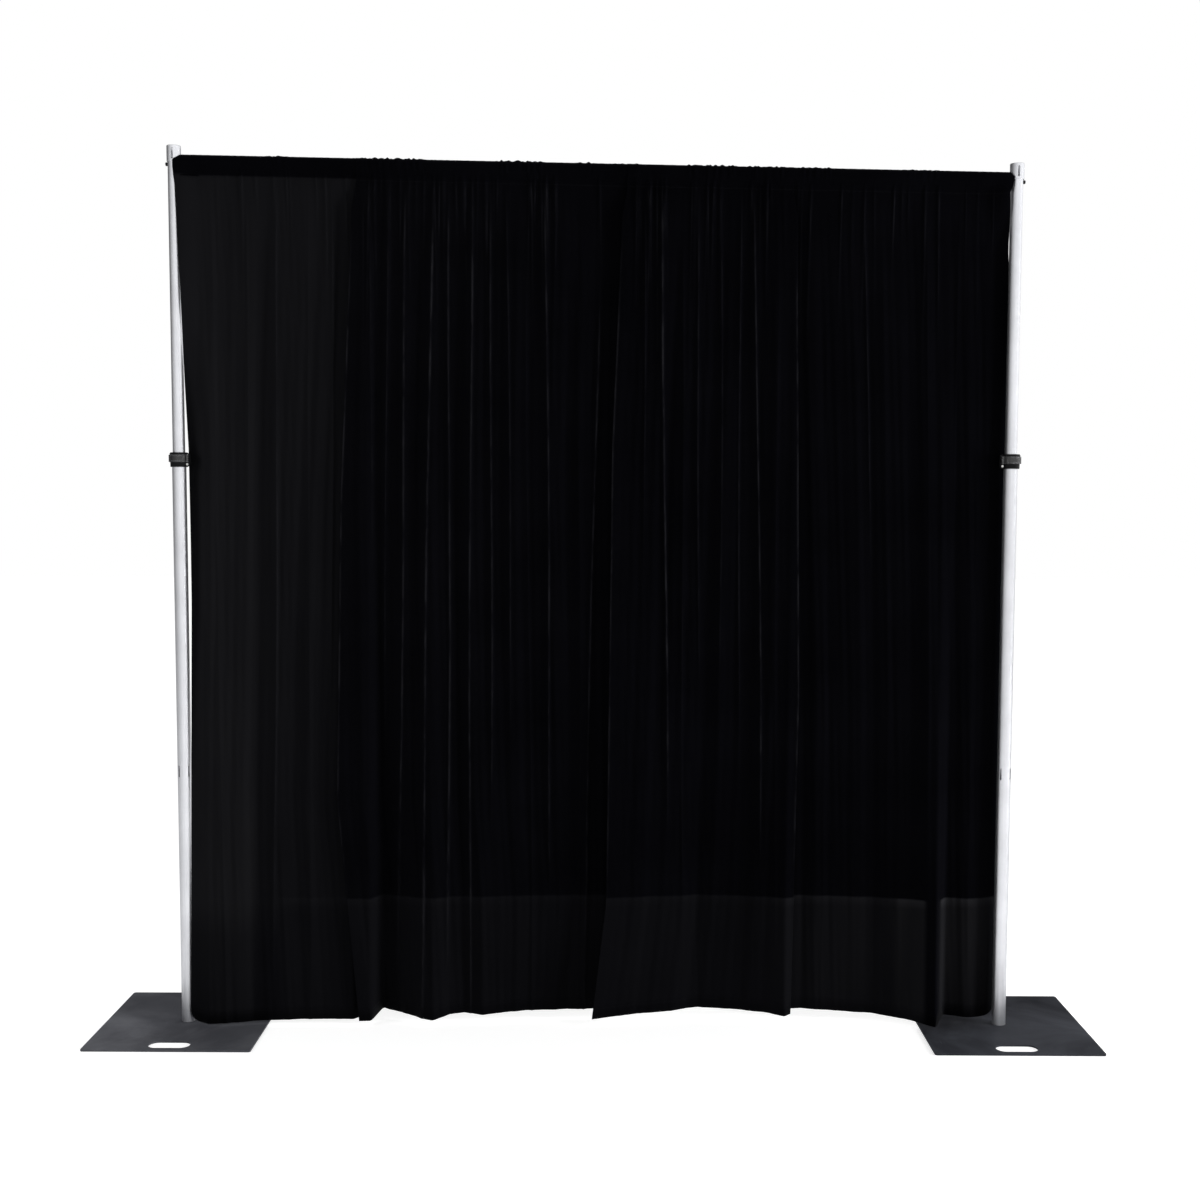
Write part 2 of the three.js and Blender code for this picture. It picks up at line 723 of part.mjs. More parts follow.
const { lerp, smoothstep } = THREE.MathUtils;
const halfSpacing = uprightSpacing / 2;
const seamHeightAt = (x) =>
  leftHeadHeight - barDrop - pocketDrop - (x + halfSpacing) * Math.tan(barTilt);

// The pocket hugs whichever tube it lies on, and narrows past the mouth of the outer one.
function barRadiusAt(x) {
  const past = (x + halfSpacing) / Math.cos(barTilt) - outerBarMouth - bushFlange;
  return lerp(outerBarRadius, innerBarRadius, smoothstep(past, edgeStrip, edgeStrip + pocketStepLength));
}

// Rows round the pocket from the seam behind to the seam in front, as [share of the pocket's
// radius towards the back, share of its drop above the bar's axis, and shares of the seat's radius
// towards the back and upwards]. The seat is an octagon that clears the bar.
const pocketShares = [
  [0, -1, 0, 0],
  [0.53, -0.5, 0, 0],
  [1, 0, 0, 0],
  [0, 0, Math.SQRT1_2, Math.SQRT1_2],
  [0, 0, 0, 1],
  [0, 0, -Math.SQRT1_2, Math.SQRT1_2],
  [-1, 0, 0, 0],
  [-0.85, -0.5, 0, 0],
  [0, -1, 0, 0],
];
const seamRow = pocketShares.length - 1;

// Rows down the skirt: shares of the way from the seam to the top of the left lock's collar, then of
// the way on to the hem. All are turned to shares of the skirt's height from the seam to the hem.
const aboveCollarShares = [0.12, 0.42, 1];
const belowCollarShares = [0.26, 0.63, 1];
const leftSeamHeight = seamHeightAt(-halfSpacing);
const collarShare = (leftSeamHeight - collarTop) / (leftSeamHeight - hemLow - hemRise / 2);
const skirtShares = [
  0,
  ...aboveCollarShares.map((share) => share * collarShare),
  ...belowCollarShares.map((share) => lerp(collarShare, 1, share)),
];

// How deep the folds are on the way down: [share of the skirt's height, share of the full depth].
const foldDepthShares = [[0, 0], [0.04, 0.4], [0.34, 1], [0.6, 1], [1, 0.3]];

// Where the pocket stops beside each head, as shares of the head's standoff: every row's distance
// in from the upright's axis, and how far the front rows swing out to pass before the head.
const pocketEndShares = {
  left: [1, 1, 1, 1, 1, 0.945, 0.073, 0.073, 0.145],
  right: [1.055, 1, 1, 1, 1, 0.945, 0.545, 0.764, 1.055],
};
const pocketFlareShares = {
  left: [-0.98, 0, 0, 0, 0, -0.673, -1.073, -1.055, -0.98],
  right: [-0.8, 0, 0, 0, 0, -0.673, -1.073, -1.055, -0.8],
};

// The outer selvedges pass the uprights: for the seam and each row of the skirt, the distance in from
// the upright's axis and towards the back, as shares of the selvedge's reach. The left one starts in
// front of its upright and slips behind the collar's ear; the right one goes behind its upright.
const selvedgeShares = {
  left: [
    [0.1, -0.675], [0.2, -0.6625], [0.525, -0.625], [0.775, 0.6], [0.8, 0.2], [0.675, -0.35], [0.475, -0.9],
  ],
  right: [
    [0.725, -0.55], [0.675, -0.15], [0.475, 0.6], [0.35, 0.95], [0.34, 0.95], [0.325, 0.95], [0.35, 0.9],
  ],
};

// The lines where one panel gives way to the next: [share of the skirt's height, share of half the
// spacing of the uprights].
const seamLineShares = {
  leftOfMiddle: [[0, -0.5643], [0.377, -0.6004], [0.735, -0.6148], [1, -0.5643]],
  middle: [[0, 0.0787], [0.305, 0.0531], [0.86, 0.0413], [1, 0.0072]],
  rightOfMiddle: [[0, 0.4692], [0.6, 0.4888], [1, 0.4783]],
};

// How the hem wanders over the floor: [share of half the spacing, share of the hem's swing].
const hemShares = {
  drape_left: [
    [-0.9875, -0.61], [-0.9429, -1], [-0.8051, -0.54], [-0.6778, -0.36], [-0.5906, -0.4],
    [-0.5774, -0.15], [-0.5577, 0.05],
  ],
  drape_mid_left: [
    [-0.5748, -0.6], [-0.5446, -0.56], [-0.5236, 0.9], [-0.395, -0.55], [-0.3543, 0.2],
    [-0.3215, 0.39], [-0.2743, 0.13], [-0.1732, 0.64], [0.0066, 0.88],
  ],
  drape_mid_right: [
    [-0.0033, -0.32], [0.0794, 0.2], [0.1936, 0.66], [0.2585, 1.1], [0.3714, 0.8], [0.4331, 0.48],
    [0.4724, 0.08], [0.4888, 0.4],
  ],
  drape_right: [
    [0.4856, 0.95], [0.5177, 1], [0.6903, 0.51], [0.7677, -0.11], [0.8005, -0.51], [0.8373, -1],
    [0.8648, 0.39], [0.9186, 0.14], [0.9829, 0.08],
  ],
};

// The value of a table of [at, value, ...] rows between its rows.
function tableAt(table, at, column = 1) {
  const next = table.findIndex((row) => row[0] > at);
  if (next === 0) return table[0][column];
  if (next < 0) return table[table.length - 1][column];
  const [from, to] = [table[next - 1], table[next]];
  return lerp(from[column], to[column], (at - from[0]) / (to[0] - from[0]));
}

// An outer edge beside an upright. Its sign says which way the panel leaves the upright.
function outerEdge(side, inward) {
  const axis = -inward * halfSpacing;
  return {
    pocketX: (row) => axis + inward * pocketEndShares[side][row] * headStandoff,
    innerPocketX: axis + inward * commonReachShare * headStandoff,
    skirtX: (row) => axis + inward * selvedgeShares[side][row][0] * selvedgeReach,
    flare: (row, x, swing) => {
      const reach = inward * (x - axis) - pocketEndShares[side][seamRow - 2] * headStandoff;
      const near = 1 - smoothstep(reach, 0, endFlareLength);
      const flared = pocketFlareShares[side][row] * headStandoff;
      return flared === 0 ? swing : lerp(swing, flared, near);
    },
    skirtY: (row, distance, swing) => {
      const own = selvedgeShares[side][row][1] * selvedgeReach;
      return lerp(own, swing, smoothstep(distance, 0, selvedgeFade));
    },
    foldShare: 0,
    lane: 0,
  };
}

// An edge that meets the next panel. The panels butt on the pocket and lap below the seam.
function innerEdge(line, inward, lane) {
  const lineX = (share) => tableAt(seamLineShares[line], share) * halfSpacing;
  return {
    pocketX: () => lineX(0) + inward * panelButtGap / 2,
    innerPocketX: lineX(0) + inward * (panelButtGap / 2 + edgeStrip),
    skirtX: (row) => lineX(skirtShares[row]) - inward * panelOverlap,
    flare: (row, x, swing) => swing,
    skirtY: (row, distance, swing) => swing,
    foldShare: foldEdgeShare,
    lane,
  };
}

const panels = [
  {
    name: 'drape_left', start: outerEdge('left', 1), end: innerEdge('leftOfMiddle', -1, 1),
    folds: 5, driftShare: 0.6, phaseShare: 0.1,
  },
  {
    name: 'drape_mid_left', start: innerEdge('leftOfMiddle', 1, -1), end: innerEdge('middle', -1, 1),
    folds: 7, driftShare: -0.5, phaseShare: 0.4,
  },
  {
    name: 'drape_mid_right', start: innerEdge('middle', 1, -1), end: innerEdge('rightOfMiddle', -1, -1),
    folds: 5, driftShare: 0.4, phaseShare: 0.7,
  },
  {
    name: 'drape_right', start: innerEdge('rightOfMiddle', 1, 1), end: outerEdge('right', -1),
    folds: 6, driftShare: -0.4, phaseShare: 0.25,
  },
];

// Across a row every column but the outermost two is evenly spaced.
function columnsOf(outer, inner) {
  const last = panelColumns - 1;
  const steps = Array.from({ length: last }, (_, i) => lerp(inner[0], inner[1], i / (last - 1)));
  return [outer[0], ...steps, outer[1]];
}

// The skirt swings between its panel's lane near the bar and its place on the floor at the hem, and
// folds ride on that: y = lane * (1 - v^2) + hem * v^2 + depth * sin(2 pi (folds * s + drift * v + phase)).
function skirtSwing(panel, x, ends, row) {
  const share = skirtShares[row];
  const [fromStart, toEnd] = [x - ends[0], ends[1] - x];
  const across = fromStart / (ends[1] - ends[0]);
  const laneOf = (edge, distance) => edge.lane * panelLane * (1 - smoothstep(distance, 0, panelLaneFade));
  const lane = laneOf(panel.start, fromStart) + laneOf(panel.end, toEnd);
  const hem = tableAt(hemShares[panel.name], x / halfSpacing) * hemSwing;
  const fadeOf = (edge, distance) => lerp(edge.foldShare, 1, smoothstep(distance, 0, selvedgeFade));
  const fade = fadeOf(panel.start, fromStart) * fadeOf(panel.end, toEnd);
  const turn = panel.folds * across + panel.driftShare * share + panel.phaseShare;
  const fold = foldDepth * tableAt(foldDepthShares, share) * fade * Math.sin(2 * Math.PI * turn);
  const hang = lerp(lane, hem, share ** 2);
  const swung = panel.start.skirtY(row, fromStart, hang + fold);
  return panel.end.skirtY(row, toEnd, swung);
}

function seamPoints(panel) {
  const ends = [panel.start.pocketX(seamRow), panel.end.pocketX(seamRow)];
  const inner = [panel.start.innerPocketX, panel.end.innerPocketX];
  return columnsOf(ends, inner).map((x) => {
    const lane = (edge, distance) => edge.lane * panelLane * seamLaneShare
      * (1 - smoothstep(Math.abs(distance), 0, panelLaneFade));
    const swing = lane(panel.start, x - ends[0]) + lane(panel.end, ends[1] - x) - seamSwing;
    const y = panel.end.flare(seamRow, x, panel.start.flare(seamRow, x, swing));
    return [x, y, seamHeightAt(x)];
  });
}

function pocketPoints(panel, row, seam) {
  const [swingShare, dropShare, seatBackShare, seatUpShare] = pocketShares[row];
  const ends = [panel.start.pocketX(row), panel.end.pocketX(row)];
  const inner = [panel.start.innerPocketX, panel.end.innerPocketX];
  return columnsOf(ends, inner).map((x) => {
    const bar = barRadiusAt(x);
    const seat = (bar + clothSeat + clothThickness / 2) / Math.cos(Math.PI / 8);
    const swing = swingShare * (bar + pocketSlack) + seatBackShare * seat;
    const y = row === 0
      ? tableAt(seam, x) + clothThickness + seamLap
      : panel.end.flare(row, x, panel.start.flare(row, x, swing));
    return [x, y, seamHeightAt(x) + (1 + dropShare) * pocketDrop + seatUpShare * seat];
  });
}

function skirtPoints(panel, row) {
  const ends = [panel.start.skirtX(row), panel.end.skirtX(row)];
  return columnsOf(ends, [ends[0] + edgeStrip, ends[1] - edgeStrip]).map((x) => {
    const hem = tableAt(hemShares[panel.name], x / halfSpacing);
    const z = lerp(seamHeightAt(x), hemLow + hemRise * (1 + hem) / 2, skirtShares[row]);
    return [x, skirtSwing(panel, x, ends, row), z];
  });
}

// A grid of points given the cloth's thickness, half to each side, and closed round its border.
function clothSheet(grid) {
  const rows = grid.length;
  const columns = grid[0].length;
  const at = (row, column) => new THREE.Vector3(...grid[row][column]);
  const faces = [[], []];
  for (let row = 0; row < rows; row += 1) {
    for (let column = 0; column < columns; column += 1) {
      const down = at(Math.min(row + 1, rows - 1), column).sub(at(Math.max(row - 1, 0), column));
      const across = at(row, Math.min(column + 1, columns - 1)).sub(at(row, Math.max(column - 1, 0)));
      const normal = down.cross(across).setLength(clothThickness / 2);
      faces[0].push(...at(row, column).add(normal));
      faces[1].push(...at(row, column).sub(normal));
    }
  }
  const count = rows * columns;
  const indices = [];
  const quad = (a, b, c, d) => indices.push(a, b, c, a, c, d);
  for (let row = 0; row < rows - 1; row += 1) {
    for (let column = 0; column < columns - 1; column += 1) {
      const corner = row * columns + column;
      quad(corner, corner + columns, corner + columns + 1, corner + 1);
      quad(count + corner, count + corner + 1, count + corner + columns + 1, count + corner + columns);
    }
  }
  const border = [
    ...Array.from({ length: columns }, (_, i) => i),
    ...Array.from({ length: rows - 1 }, (_, i) => (i + 2) * columns - 1),
    ...Array.from({ length: columns - 1 }, (_, i) => count - 2 - i),
    ...Array.from({ length: rows - 2 }, (_, i) => (rows - 2 - i) * columns),
  ];
  border.forEach((from, i) => {
    const to = border[(i + 1) % border.length];
    quad(from, to, count + to, count + from);
  });
  const geometry = new THREE.BufferGeometry();
  geometry.setAttribute('position', new THREE.Float32BufferAttribute([...faces[0], ...faces[1]], 3));
  geometry.setIndex(indices);
  return geometry;
}

function drapePanel(panel) {
  const seam = seamPoints(panel);
  const pocket = pocketShares.slice(0, seamRow).map((_, row) => pocketPoints(panel, row, seam));
  const skirt = skirtShares.slice(1).map((_, i) => skirtPoints(panel, i + 1));
  return clothSheet([...pocket, seam, ...skirt]);
}

// The whole backdrop

const backdrop = new THREE.Group();
backdrop.name = 'pipe_and_drape_backdrop';
backdrop.add(upright('left', 1, leftHeadHeight, leftLowerTurn, leftPlateSteel));
backdrop.add(upright('right', -1, leftHeadHeight - rightHeadDrop, rightLowerTurn, rightPlateSteel));
backdrop.add(crossbar());
panels.forEach((panel) => piece(backdrop, panel.name, drapePanel(panel), blackCloth));

export default backdrop;
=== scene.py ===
# Pipe and drape backdrop: the finish of every metal and nylon piece, and the hung cloth.
# Everything is in metres. X runs along the crossbar, +Y is the back and Z is up.
import json
import math

import bmesh
import bpy
import numpy as np
from mathutils import Matrix, Vector


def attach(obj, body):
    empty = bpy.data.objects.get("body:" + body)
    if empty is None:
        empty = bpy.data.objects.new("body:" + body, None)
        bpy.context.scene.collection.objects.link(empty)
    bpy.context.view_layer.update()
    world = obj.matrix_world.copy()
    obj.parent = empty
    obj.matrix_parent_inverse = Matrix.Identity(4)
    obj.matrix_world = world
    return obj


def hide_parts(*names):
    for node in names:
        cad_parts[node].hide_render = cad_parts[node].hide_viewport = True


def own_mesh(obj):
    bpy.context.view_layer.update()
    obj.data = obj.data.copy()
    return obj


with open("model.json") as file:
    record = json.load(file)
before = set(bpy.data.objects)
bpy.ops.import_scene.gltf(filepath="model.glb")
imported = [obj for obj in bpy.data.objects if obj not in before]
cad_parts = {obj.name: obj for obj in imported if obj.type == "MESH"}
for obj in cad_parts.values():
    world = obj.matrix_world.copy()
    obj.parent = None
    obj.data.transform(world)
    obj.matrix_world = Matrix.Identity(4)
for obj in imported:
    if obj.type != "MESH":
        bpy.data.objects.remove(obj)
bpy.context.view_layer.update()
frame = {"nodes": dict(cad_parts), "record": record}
scene = bpy.context.scene
mm = 0.001
smooth = {"interpolation_type": "SMOOTHSTEP"}


def linear(colour):
    # sRGB hex to the linear values that the shaders use
    shares = [int(colour[i:i + 2], 16) / 255 for i in (1, 3, 5)]
    return tuple(s / 12.92 if s <= 0.04045 else ((s + 0.055) / 1.055) ** 2.4 for s in shares) + (1.0,)


def addNode(tree, kind, links=None, out=0, **settings):
    # links: socket name or number -> a value, a colour or the socket that feeds it, or a list of
    # these for the first sockets in turn (those of a MapRange: value, from, to, least, most)
    node = tree.nodes.new("ShaderNode" + kind)
    for name, value in settings.items():
        setattr(node, name, value)
    if isinstance(links, list):
        links = dict(enumerate(links))
    for socket, value in (links or {}).items():
        if isinstance(value, bpy.types.NodeSocket):
            tree.links.new(value, node.inputs[socket])
        else:
            node.inputs[socket].default_value = value
    return node.outputs[out] if node.outputs else node


def addObject(name, data):
    thing = bpy.data.objects.new(name, data)
    scene.collection.objects.link(thing)
    return thing


def startMaterial(name):
    # an empty material, its tree, and the place on the piece in metres
    material = bpy.data.materials.new(name)
    material.use_nodes = True
    tree = material.node_tree
    tree.nodes.clear()
    return material, tree, addNode(tree, "TexCoord", out="Object")


def drawnOut(tree, place, cells, sockets):
    # noise drawn out into streaks, with so many cells to the metre each way
    place = addNode(tree, "Mapping", {"Vector": place, "Scale": cells})
    return addNode(tree, "TexNoise", {"Vector": place, "Scale": 1.0, **sockets})


def patches(tree, place, sockets, *spread):
    # noise with what lies between two levels spread over 0 to 1, or over two others if given
    noise = addNode(tree, "TexNoise", {"Vector": place, **sockets})
    return addNode(tree, "MapRange", [noise, *spread])


def layered(tree, finish, ground, layers):
    # colours of a finish laid over its ground colour in turn, each where its share says
    base = linear(finish[ground])
    for colour, share in layers.items():
        base = addNode(tree, "Mix", {0: share, 6: base, 7: linear(finish[colour])}, 2, data_type="RGBA")
    return base


def embossed(tree, *patterns):
    # patterns pressed into the skin in turn: the height of each, its depth in mm and its strength
    links = {}
    for height, depth, strength in patterns:
        links.update({"Height": height, "Distance": depth * mm, "Strength": strength})
        links["Normal"] = addNode(tree, "Bump", links)
    return links["Normal"]


def surfaced(material, finish, base, skin, pattern, sockets, spread=(0.3, 0.7)):
    # closes a material with its colour, its skin, and a roughness that goes between its finish's two
    # levels as a pattern does
    tree = material.node_tree
    rough = addNode(tree, "MapRange", [pattern, *spread, *finish["rough"]])
    sockets = {"Base Color": base, "Normal": skin, "Roughness": rough, **sockets}
    addNode(tree, "OutputMaterial", {"Surface": addNode(tree, "BsdfPrincipled", sockets)})
    return material


camera = {
    "place": (0.0517, -5.3979, 1.9791),
    "lens": 44.0,           # mm
    "down": 4.036,          # degrees below the horizon
    "turn": 0.314,          # degrees to the left
    "roll": -0.14,
    "sensor": 36,           # mm across
    "reach": 200,           # how far it sees
}


def makeCamera():
    down, turn, roll = (math.radians(camera[k]) for k in ("down", "turn", "roll"))
    ahead = Vector((-math.sin(turn) * math.cos(down), math.cos(turn) * math.cos(down), -math.sin(down)))
    across = Vector((math.cos(turn), math.sin(turn), 0))
    above = across.cross(ahead)
    right = across * math.cos(roll) - above * math.sin(roll)
    up = across * math.sin(roll) + above * math.cos(roll)
    data = bpy.data.cameras.new("camera")
    data.lens = camera["lens"]
    data.sensor_width = camera["sensor"]
    data.clip_end = camera["reach"]
    eye = addObject("camera", data)
    axes = Matrix((right, up, -ahead)).transposed().to_4x4()
    eye.matrix_world = Matrix.Translation(camera["place"]) @ axes
    scene.camera = eye


room = {
    "skyLight": 0.32,                       # what dull surfaces get from the white room
    "walls": 0.09,                          # what shiny surfaces see all round
    "window": (0.5, -0.866, 0.0),           # they see a broad window in front: where it is, and
    "windowEdges": (-0.62, 0.97, 1.40),     # the cosines where it starts and is full, and its light
    "farWall": (0.866, 0.5, 0.0),           # a bright wall behind, to the right
    "farWallEdges": (0.35, 0.90, 0.55),
    "ceiling": (0.22, 0.60, 0.38),          # heights where the room starts and ends to dim, and how far
    "skylight": (0.80, 0.97, 0.9),          # a pale panel straight overhead: its edges and its light
}
studio = {
    "size": 60.0,
    "sunk": 0.4 * mm,                       # under the plates, so that the two faces don't fight
    "paint": "#dcdcdc",
    "glow": (3.5, 9.0, 0.62, 0.85),         # what only the camera sees more, so that open floor is
                                            # white: from and to so far out, and its two levels
    "glossPool": (0.6, -4.0, 0.0),          # shiny surfaces see a pool of light on it, round this
    "glossGlow": (1.5, 6.0, 0.82, 0.24),    # point: from and to so far out, and its two levels
}
lamps = [
    # name, place, aimed at, width, height, watts
    ("windowRight", (9.0, -2.4, 2.3), (0.2, 0.0, 1.6), 2.6, 4.4, 820),
    ("cardLeft", (-5.4, -2.4, 3.0), (-0.2, 0.0, 1.6), 1.6, 2.6, 90),
    ("overhead", (0.0, 0.6, 6.2), (0.0, 0.0, 0.0), 3.0, 3.0, 70),
    ("rimBack", (1.2, 4.6, 4.2), (0.0, 0.0, 1.6), 2.4, 2.0, 60),
]


def makeRoom():
    world = bpy.data.worlds.new("whiteRoom")
    world.use_nodes = True
    scene.world = world
    tree = world.node_tree
    tree.nodes.clear()
    ray = addNode(tree, "LightPath").node.outputs
    # what shiny pieces see = (window + far wall) * dimming towards the ceiling + skylight
    towards = addNode(tree, "TexCoord", out="Generated")
    height = addNode(tree, "SeparateXYZ", [towards], out="Z")
    window = addNode(tree, "VectorMath", [towards, room["window"]], "Value", operation="DOT_PRODUCT")
    starts, full, light = room["windowEdges"]
    window = addNode(tree, "MapRange", [window, starts, full, room["walls"], room["walls"] + light])
    wall = addNode(tree, "VectorMath", [towards, room["farWall"]], "Value", operation="DOT_PRODUCT")
    starts, full, light = room["farWallEdges"]
    wall = addNode(tree, "MapRange", [wall, starts, full, 0, light], **smooth)
    window = addNode(tree, "Math", [window, wall], operation="ADD")
    low, high, dim = room["ceiling"]
    dimmed = addNode(tree, "MapRange", [height, low, high, 1.0, dim], **smooth)
    starts, full, light = room["skylight"]
    overhead = addNode(tree, "MapRange", [height, starts, full, 0, light], **smooth)
    level = addNode(tree, "Math", [window, dimmed, overhead], operation="MULTIPLY_ADD")
    dull, mirrored, white = (addNode(tree, "Background", {"Color": (1, 1, 1, 1), "Strength": strength})
                             for strength in (room["skyLight"], level, 1.0))
    first = addNode(tree, "MixShader", [ray["Is Glossy Ray"], dull, mirrored])
    seen = addNode(tree, "Math", [ray["Is Camera Ray"], ray["Is Transmission Ray"]],
                   operation="MAXIMUM")
    addNode(tree, "OutputWorld", {"Surface": addNode(tree, "MixShader", [seen, first, white])})


def makeFloor():
    # Matt floor paint, rolled: it takes the object's shadow, and its open part reads as white.
    paint, tree, place = startMaterial("matteStudioFloor")
    ray = addNode(tree, "LightPath").node.outputs
    near, far, most, least = studio["glossGlow"]
    farOut = addNode(tree, "VectorMath", [place, studio["glossPool"]], "Value", operation="DISTANCE")
    mirrored = addNode(tree, "MapRange", [farOut, near, far, most, least], **smooth)
    mirrored = addNode(tree, "Math", [ray["Is Glossy Ray"], mirrored], operation="MULTIPLY")
    near, far, least, most = studio["glow"]
    farOut = addNode(tree, "VectorMath", [place], "Value", operation="LENGTH")
    direct = addNode(tree, "MapRange", [farOut, near, far, least, most], **smooth)
    glow = addNode(tree, "Math", [ray["Is Camera Ray"], direct, mirrored], operation="MULTIPLY_ADD")
    dull = addNode(tree, "BsdfDiffuse", {"Color": linear(studio["paint"])})
    light = addNode(tree, "Emission", {"Color": (1, 1, 1, 1), "Strength": glow})
    addNode(tree, "OutputMaterial", {"Surface": addNode(tree, "AddShader", [dull, light])})
    half = studio["size"] / 2
    mesh = bpy.data.meshes.new("studioFloor")
    corners = [(x * half, y * half, -studio["sunk"]) for x, y in ((-1, -1), (1, -1), (1, 1), (-1, 1))]
    mesh.from_pydata(corners, [], [(0, 1, 2, 3)])
    mesh.materials.append(paint)
    floor = addObject("studioFloor", mesh)


def makeLamps():
    for name, place, target, width, height, watts in lamps:
        data = bpy.data.lights.new(name, "AREA")
        data.shape = "RECTANGLE"
        data.size, data.size_y = width, height
        data.energy = watts
        lamp = addObject(name, data)
        lamp.location = place
        lamp.rotation_euler = (Vector(target) - Vector(place)).to_track_quat("-Z", "Y").to_euler()
        lamp.visible_camera = False
        lamp.visible_glossy = False     # shiny pieces mirror the room instead


makeCamera()
makeRoom()
makeFloor()
makeLamps()
scene.view_settings.view_transform = "Standard"
print("camera and white room made")


def edgeWearAndHighlight(tree, radius, flat):
    # 1 on corners, 0 on flats: the cosine between a normal rounded over so many mm and the true one,
    # from 0.8 to flat. Most finishes use it for corners that hands and floors rub; on the lever it
    # carries a painted highlight.
    rounded = addNode(tree, "Bevel", {"Radius": radius * mm}, samples=4)
    true = addNode(tree, "NewGeometry", out="Normal")
    match = addNode(tree, "VectorMath", [rounded, true], "Value", operation="DOT_PRODUCT")
    return addNode(tree, "MapRange", [match, flat, 0.80])


plates = {
    "left": {"dark": "#46474c", "light": "#505156", "worn": "#68696e", "wornRange": (0.48, 0.76),
             "scuff": "#7c7d82", "edge": "#87888c", "rough": (0.52, 0.65)},
    # painted shade: the right plate's colours are darker than the left plate's
    "right": {"dark": "#191a1f", "light": "#232429", "worn": "#46484e", "wornRange": (0.45, 0.74),
              "scuff": "#6d6f75", "edge": "#787a80", "rough": (0.46, 0.59)},
    "lighterOutwards": (1.15, 2.0, -0.10, 0.16),    # lighter outwards and in front: from and to, and how much
    "gloss": 0.03, "ior": 1.5,
    "rub": 1.2,             # mm, how far in from an edge the coat is rubbed through
    "bevel": 0.5,           # mm, the sheared and deburred edge
}


def powderCoat(name, paint):
    # Steel plate, powder coated and baked: a satin skin with a fine orange peel about 1.5 mm across
    # (650 to the metre), dulled by feet and stacking in patches of 200 to 500 mm, with pale scuffs
    # and a thin bright line where edges are rubbed.
    material, tree, place = startMaterial(name)
    cloudy = addNode(tree, "TexNoise", {"Vector": place, "Scale": 5.5, "Detail": 4, "Roughness": 0.6})
    mottled = addNode(tree, "MapRange", [cloudy, 0.3, 0.7])
    worn = addNode(tree, "TexNoise", {"Vector": place, "Scale": 2.1, "Detail": 6, "Roughness": 0.62,
                                      "Distortion": 0.6})
    # lighter on its outer and front part, darker near the cloth: |x| - 0.8 y
    parts = addNode(tree, "SeparateXYZ", [place]).node.outputs
    outwards = addNode(tree, "Math", [parts["X"]], operation="ABSOLUTE")
    outwards = addNode(tree, "Math", [parts["Y"], -0.8, outwards], operation="MULTIPLY_ADD")
    low, high, least, most = plates["lighterOutwards"]
    lighterOutwards = addNode(tree, "MapRange", [outwards, low, high, least, most])
    worn = addNode(tree, "Math", [worn, lighterOutwards], operation="ADD")
    low, high = paint["wornRange"]
    worn = addNode(tree, "MapRange", [worn, low, high])
    # scuffs: short drag marks a millimetre wide and up to 150 mm long, in two directions
    drags = [drawnOut(tree, place, cells, {"Detail": 2, "Distortion": 0.3})
             for cells in ((9, 420, 60), (380, 12, 60))]
    drag = addNode(tree, "Math", drags, operation="MAXIMUM")
    drag = addNode(tree, "MapRange", [drag, 0.70, 0.80])
    patch = patches(tree, place, {"Scale": 7.0, "Detail": 2}, 0.50, 0.62, 0, 0.45)
    scuff = addNode(tree, "Math", [drag, patch], operation="MULTIPLY")
    # the rubbed edge comes and goes every 6 mm
    broken = patches(tree, place, {"Scale": 160.0, "Detail": 3}, 0.42, 0.6)
    edge = addNode(tree, "Math", [edgeWearAndHighlight(tree, plates["rub"], 0.97), broken], operation="MULTIPLY")
    base = layered(tree, paint, "dark", {"light": mottled, "worn": worn, "scuff": scuff, "edge": edge})
    peel = addNode(tree, "TexNoise", {"Vector": place, "Scale": 650.0, "Detail": 2})
    skin = embossed(tree, (peel, 0.06, 0.8), (scuff, 0.1, 0.6))
    return surfaced(material, paint, base, skin, cloudy, {"Metallic": 0.0, "IOR": plates["ior"],
                    "Specular IOR Level": plates["gloss"]}, (0.25, 0.75))


tubes = {"dark": "#d8d9dd", "light": "#e5e6ea", "line": "#c3c4c9", "rub": "#9c9da2",
         "rough": (0.33, 0.44), "metal": 0.95, "bevel": 0.25, "headBevel": 0.4}


def anodised(name, tube, along):
    # Drawn aluminium tube, clear anodised: satin grey-white, with faint draw lines 1.4 mm apart along
    # its length (the real 0.2 mm is too fine to show), a slightly cloudy film, and rub marks 1.1 mm
    # wide round it where collars and hands slide.
    material, tree, place = startMaterial(name)
    lines = {"z": (700, 700, 5), "x": (5, 700, 700)}[along]
    rings = {"z": (14, 14, 900), "x": (900, 14, 14)}[along]
    drawn = drawnOut(tree, place, lines, {"Detail": 3, "Roughness": 0.55})
    film = patches(tree, place, {"Scale": 9.0, "Detail": 3}, 0.3, 0.7)
    line = addNode(tree, "MapRange", [drawn, 0.35, 0.7, 0, 0.28])
    ring = drawnOut(tree, place, rings, {"Detail": 2})
    ring = addNode(tree, "MapRange", [ring, 0.66, 0.74])
    patch = patches(tree, place, {"Scale": 5.0, "Detail": 2}, 0.48, 0.66, 0, 0.3)
    rub = addNode(tree, "Math", [ring, patch], operation="MULTIPLY")
    base = layered(tree, tube, "dark", {"light": film, "line": line, "rub": rub})
    skin = embossed(tree, (drawn, 0.02, 0.5), (rub, 0.1, 0.5))
    return surfaced(material, tube, base, skin, drawn, {"Metallic": tube["metal"]})


zinc = {"cool": "#c4c8cb", "straw": "#cfccc0", "grain": "#aeb2b5", "edge": "#e0e2e3",
        "rough": (0.25, 0.39), "rub": 0.6, "bevel": 0.35, "smallBevel": 0.2, "nutBevel": 0.25}
spring = {"cool": "#83888e", "straw": "#8f8f8c", "grain": "#70757a", "edge": "#a5a9ad",
          "rough": (0.23, 0.37), "rub": 0.6, "bevel": 0.15}


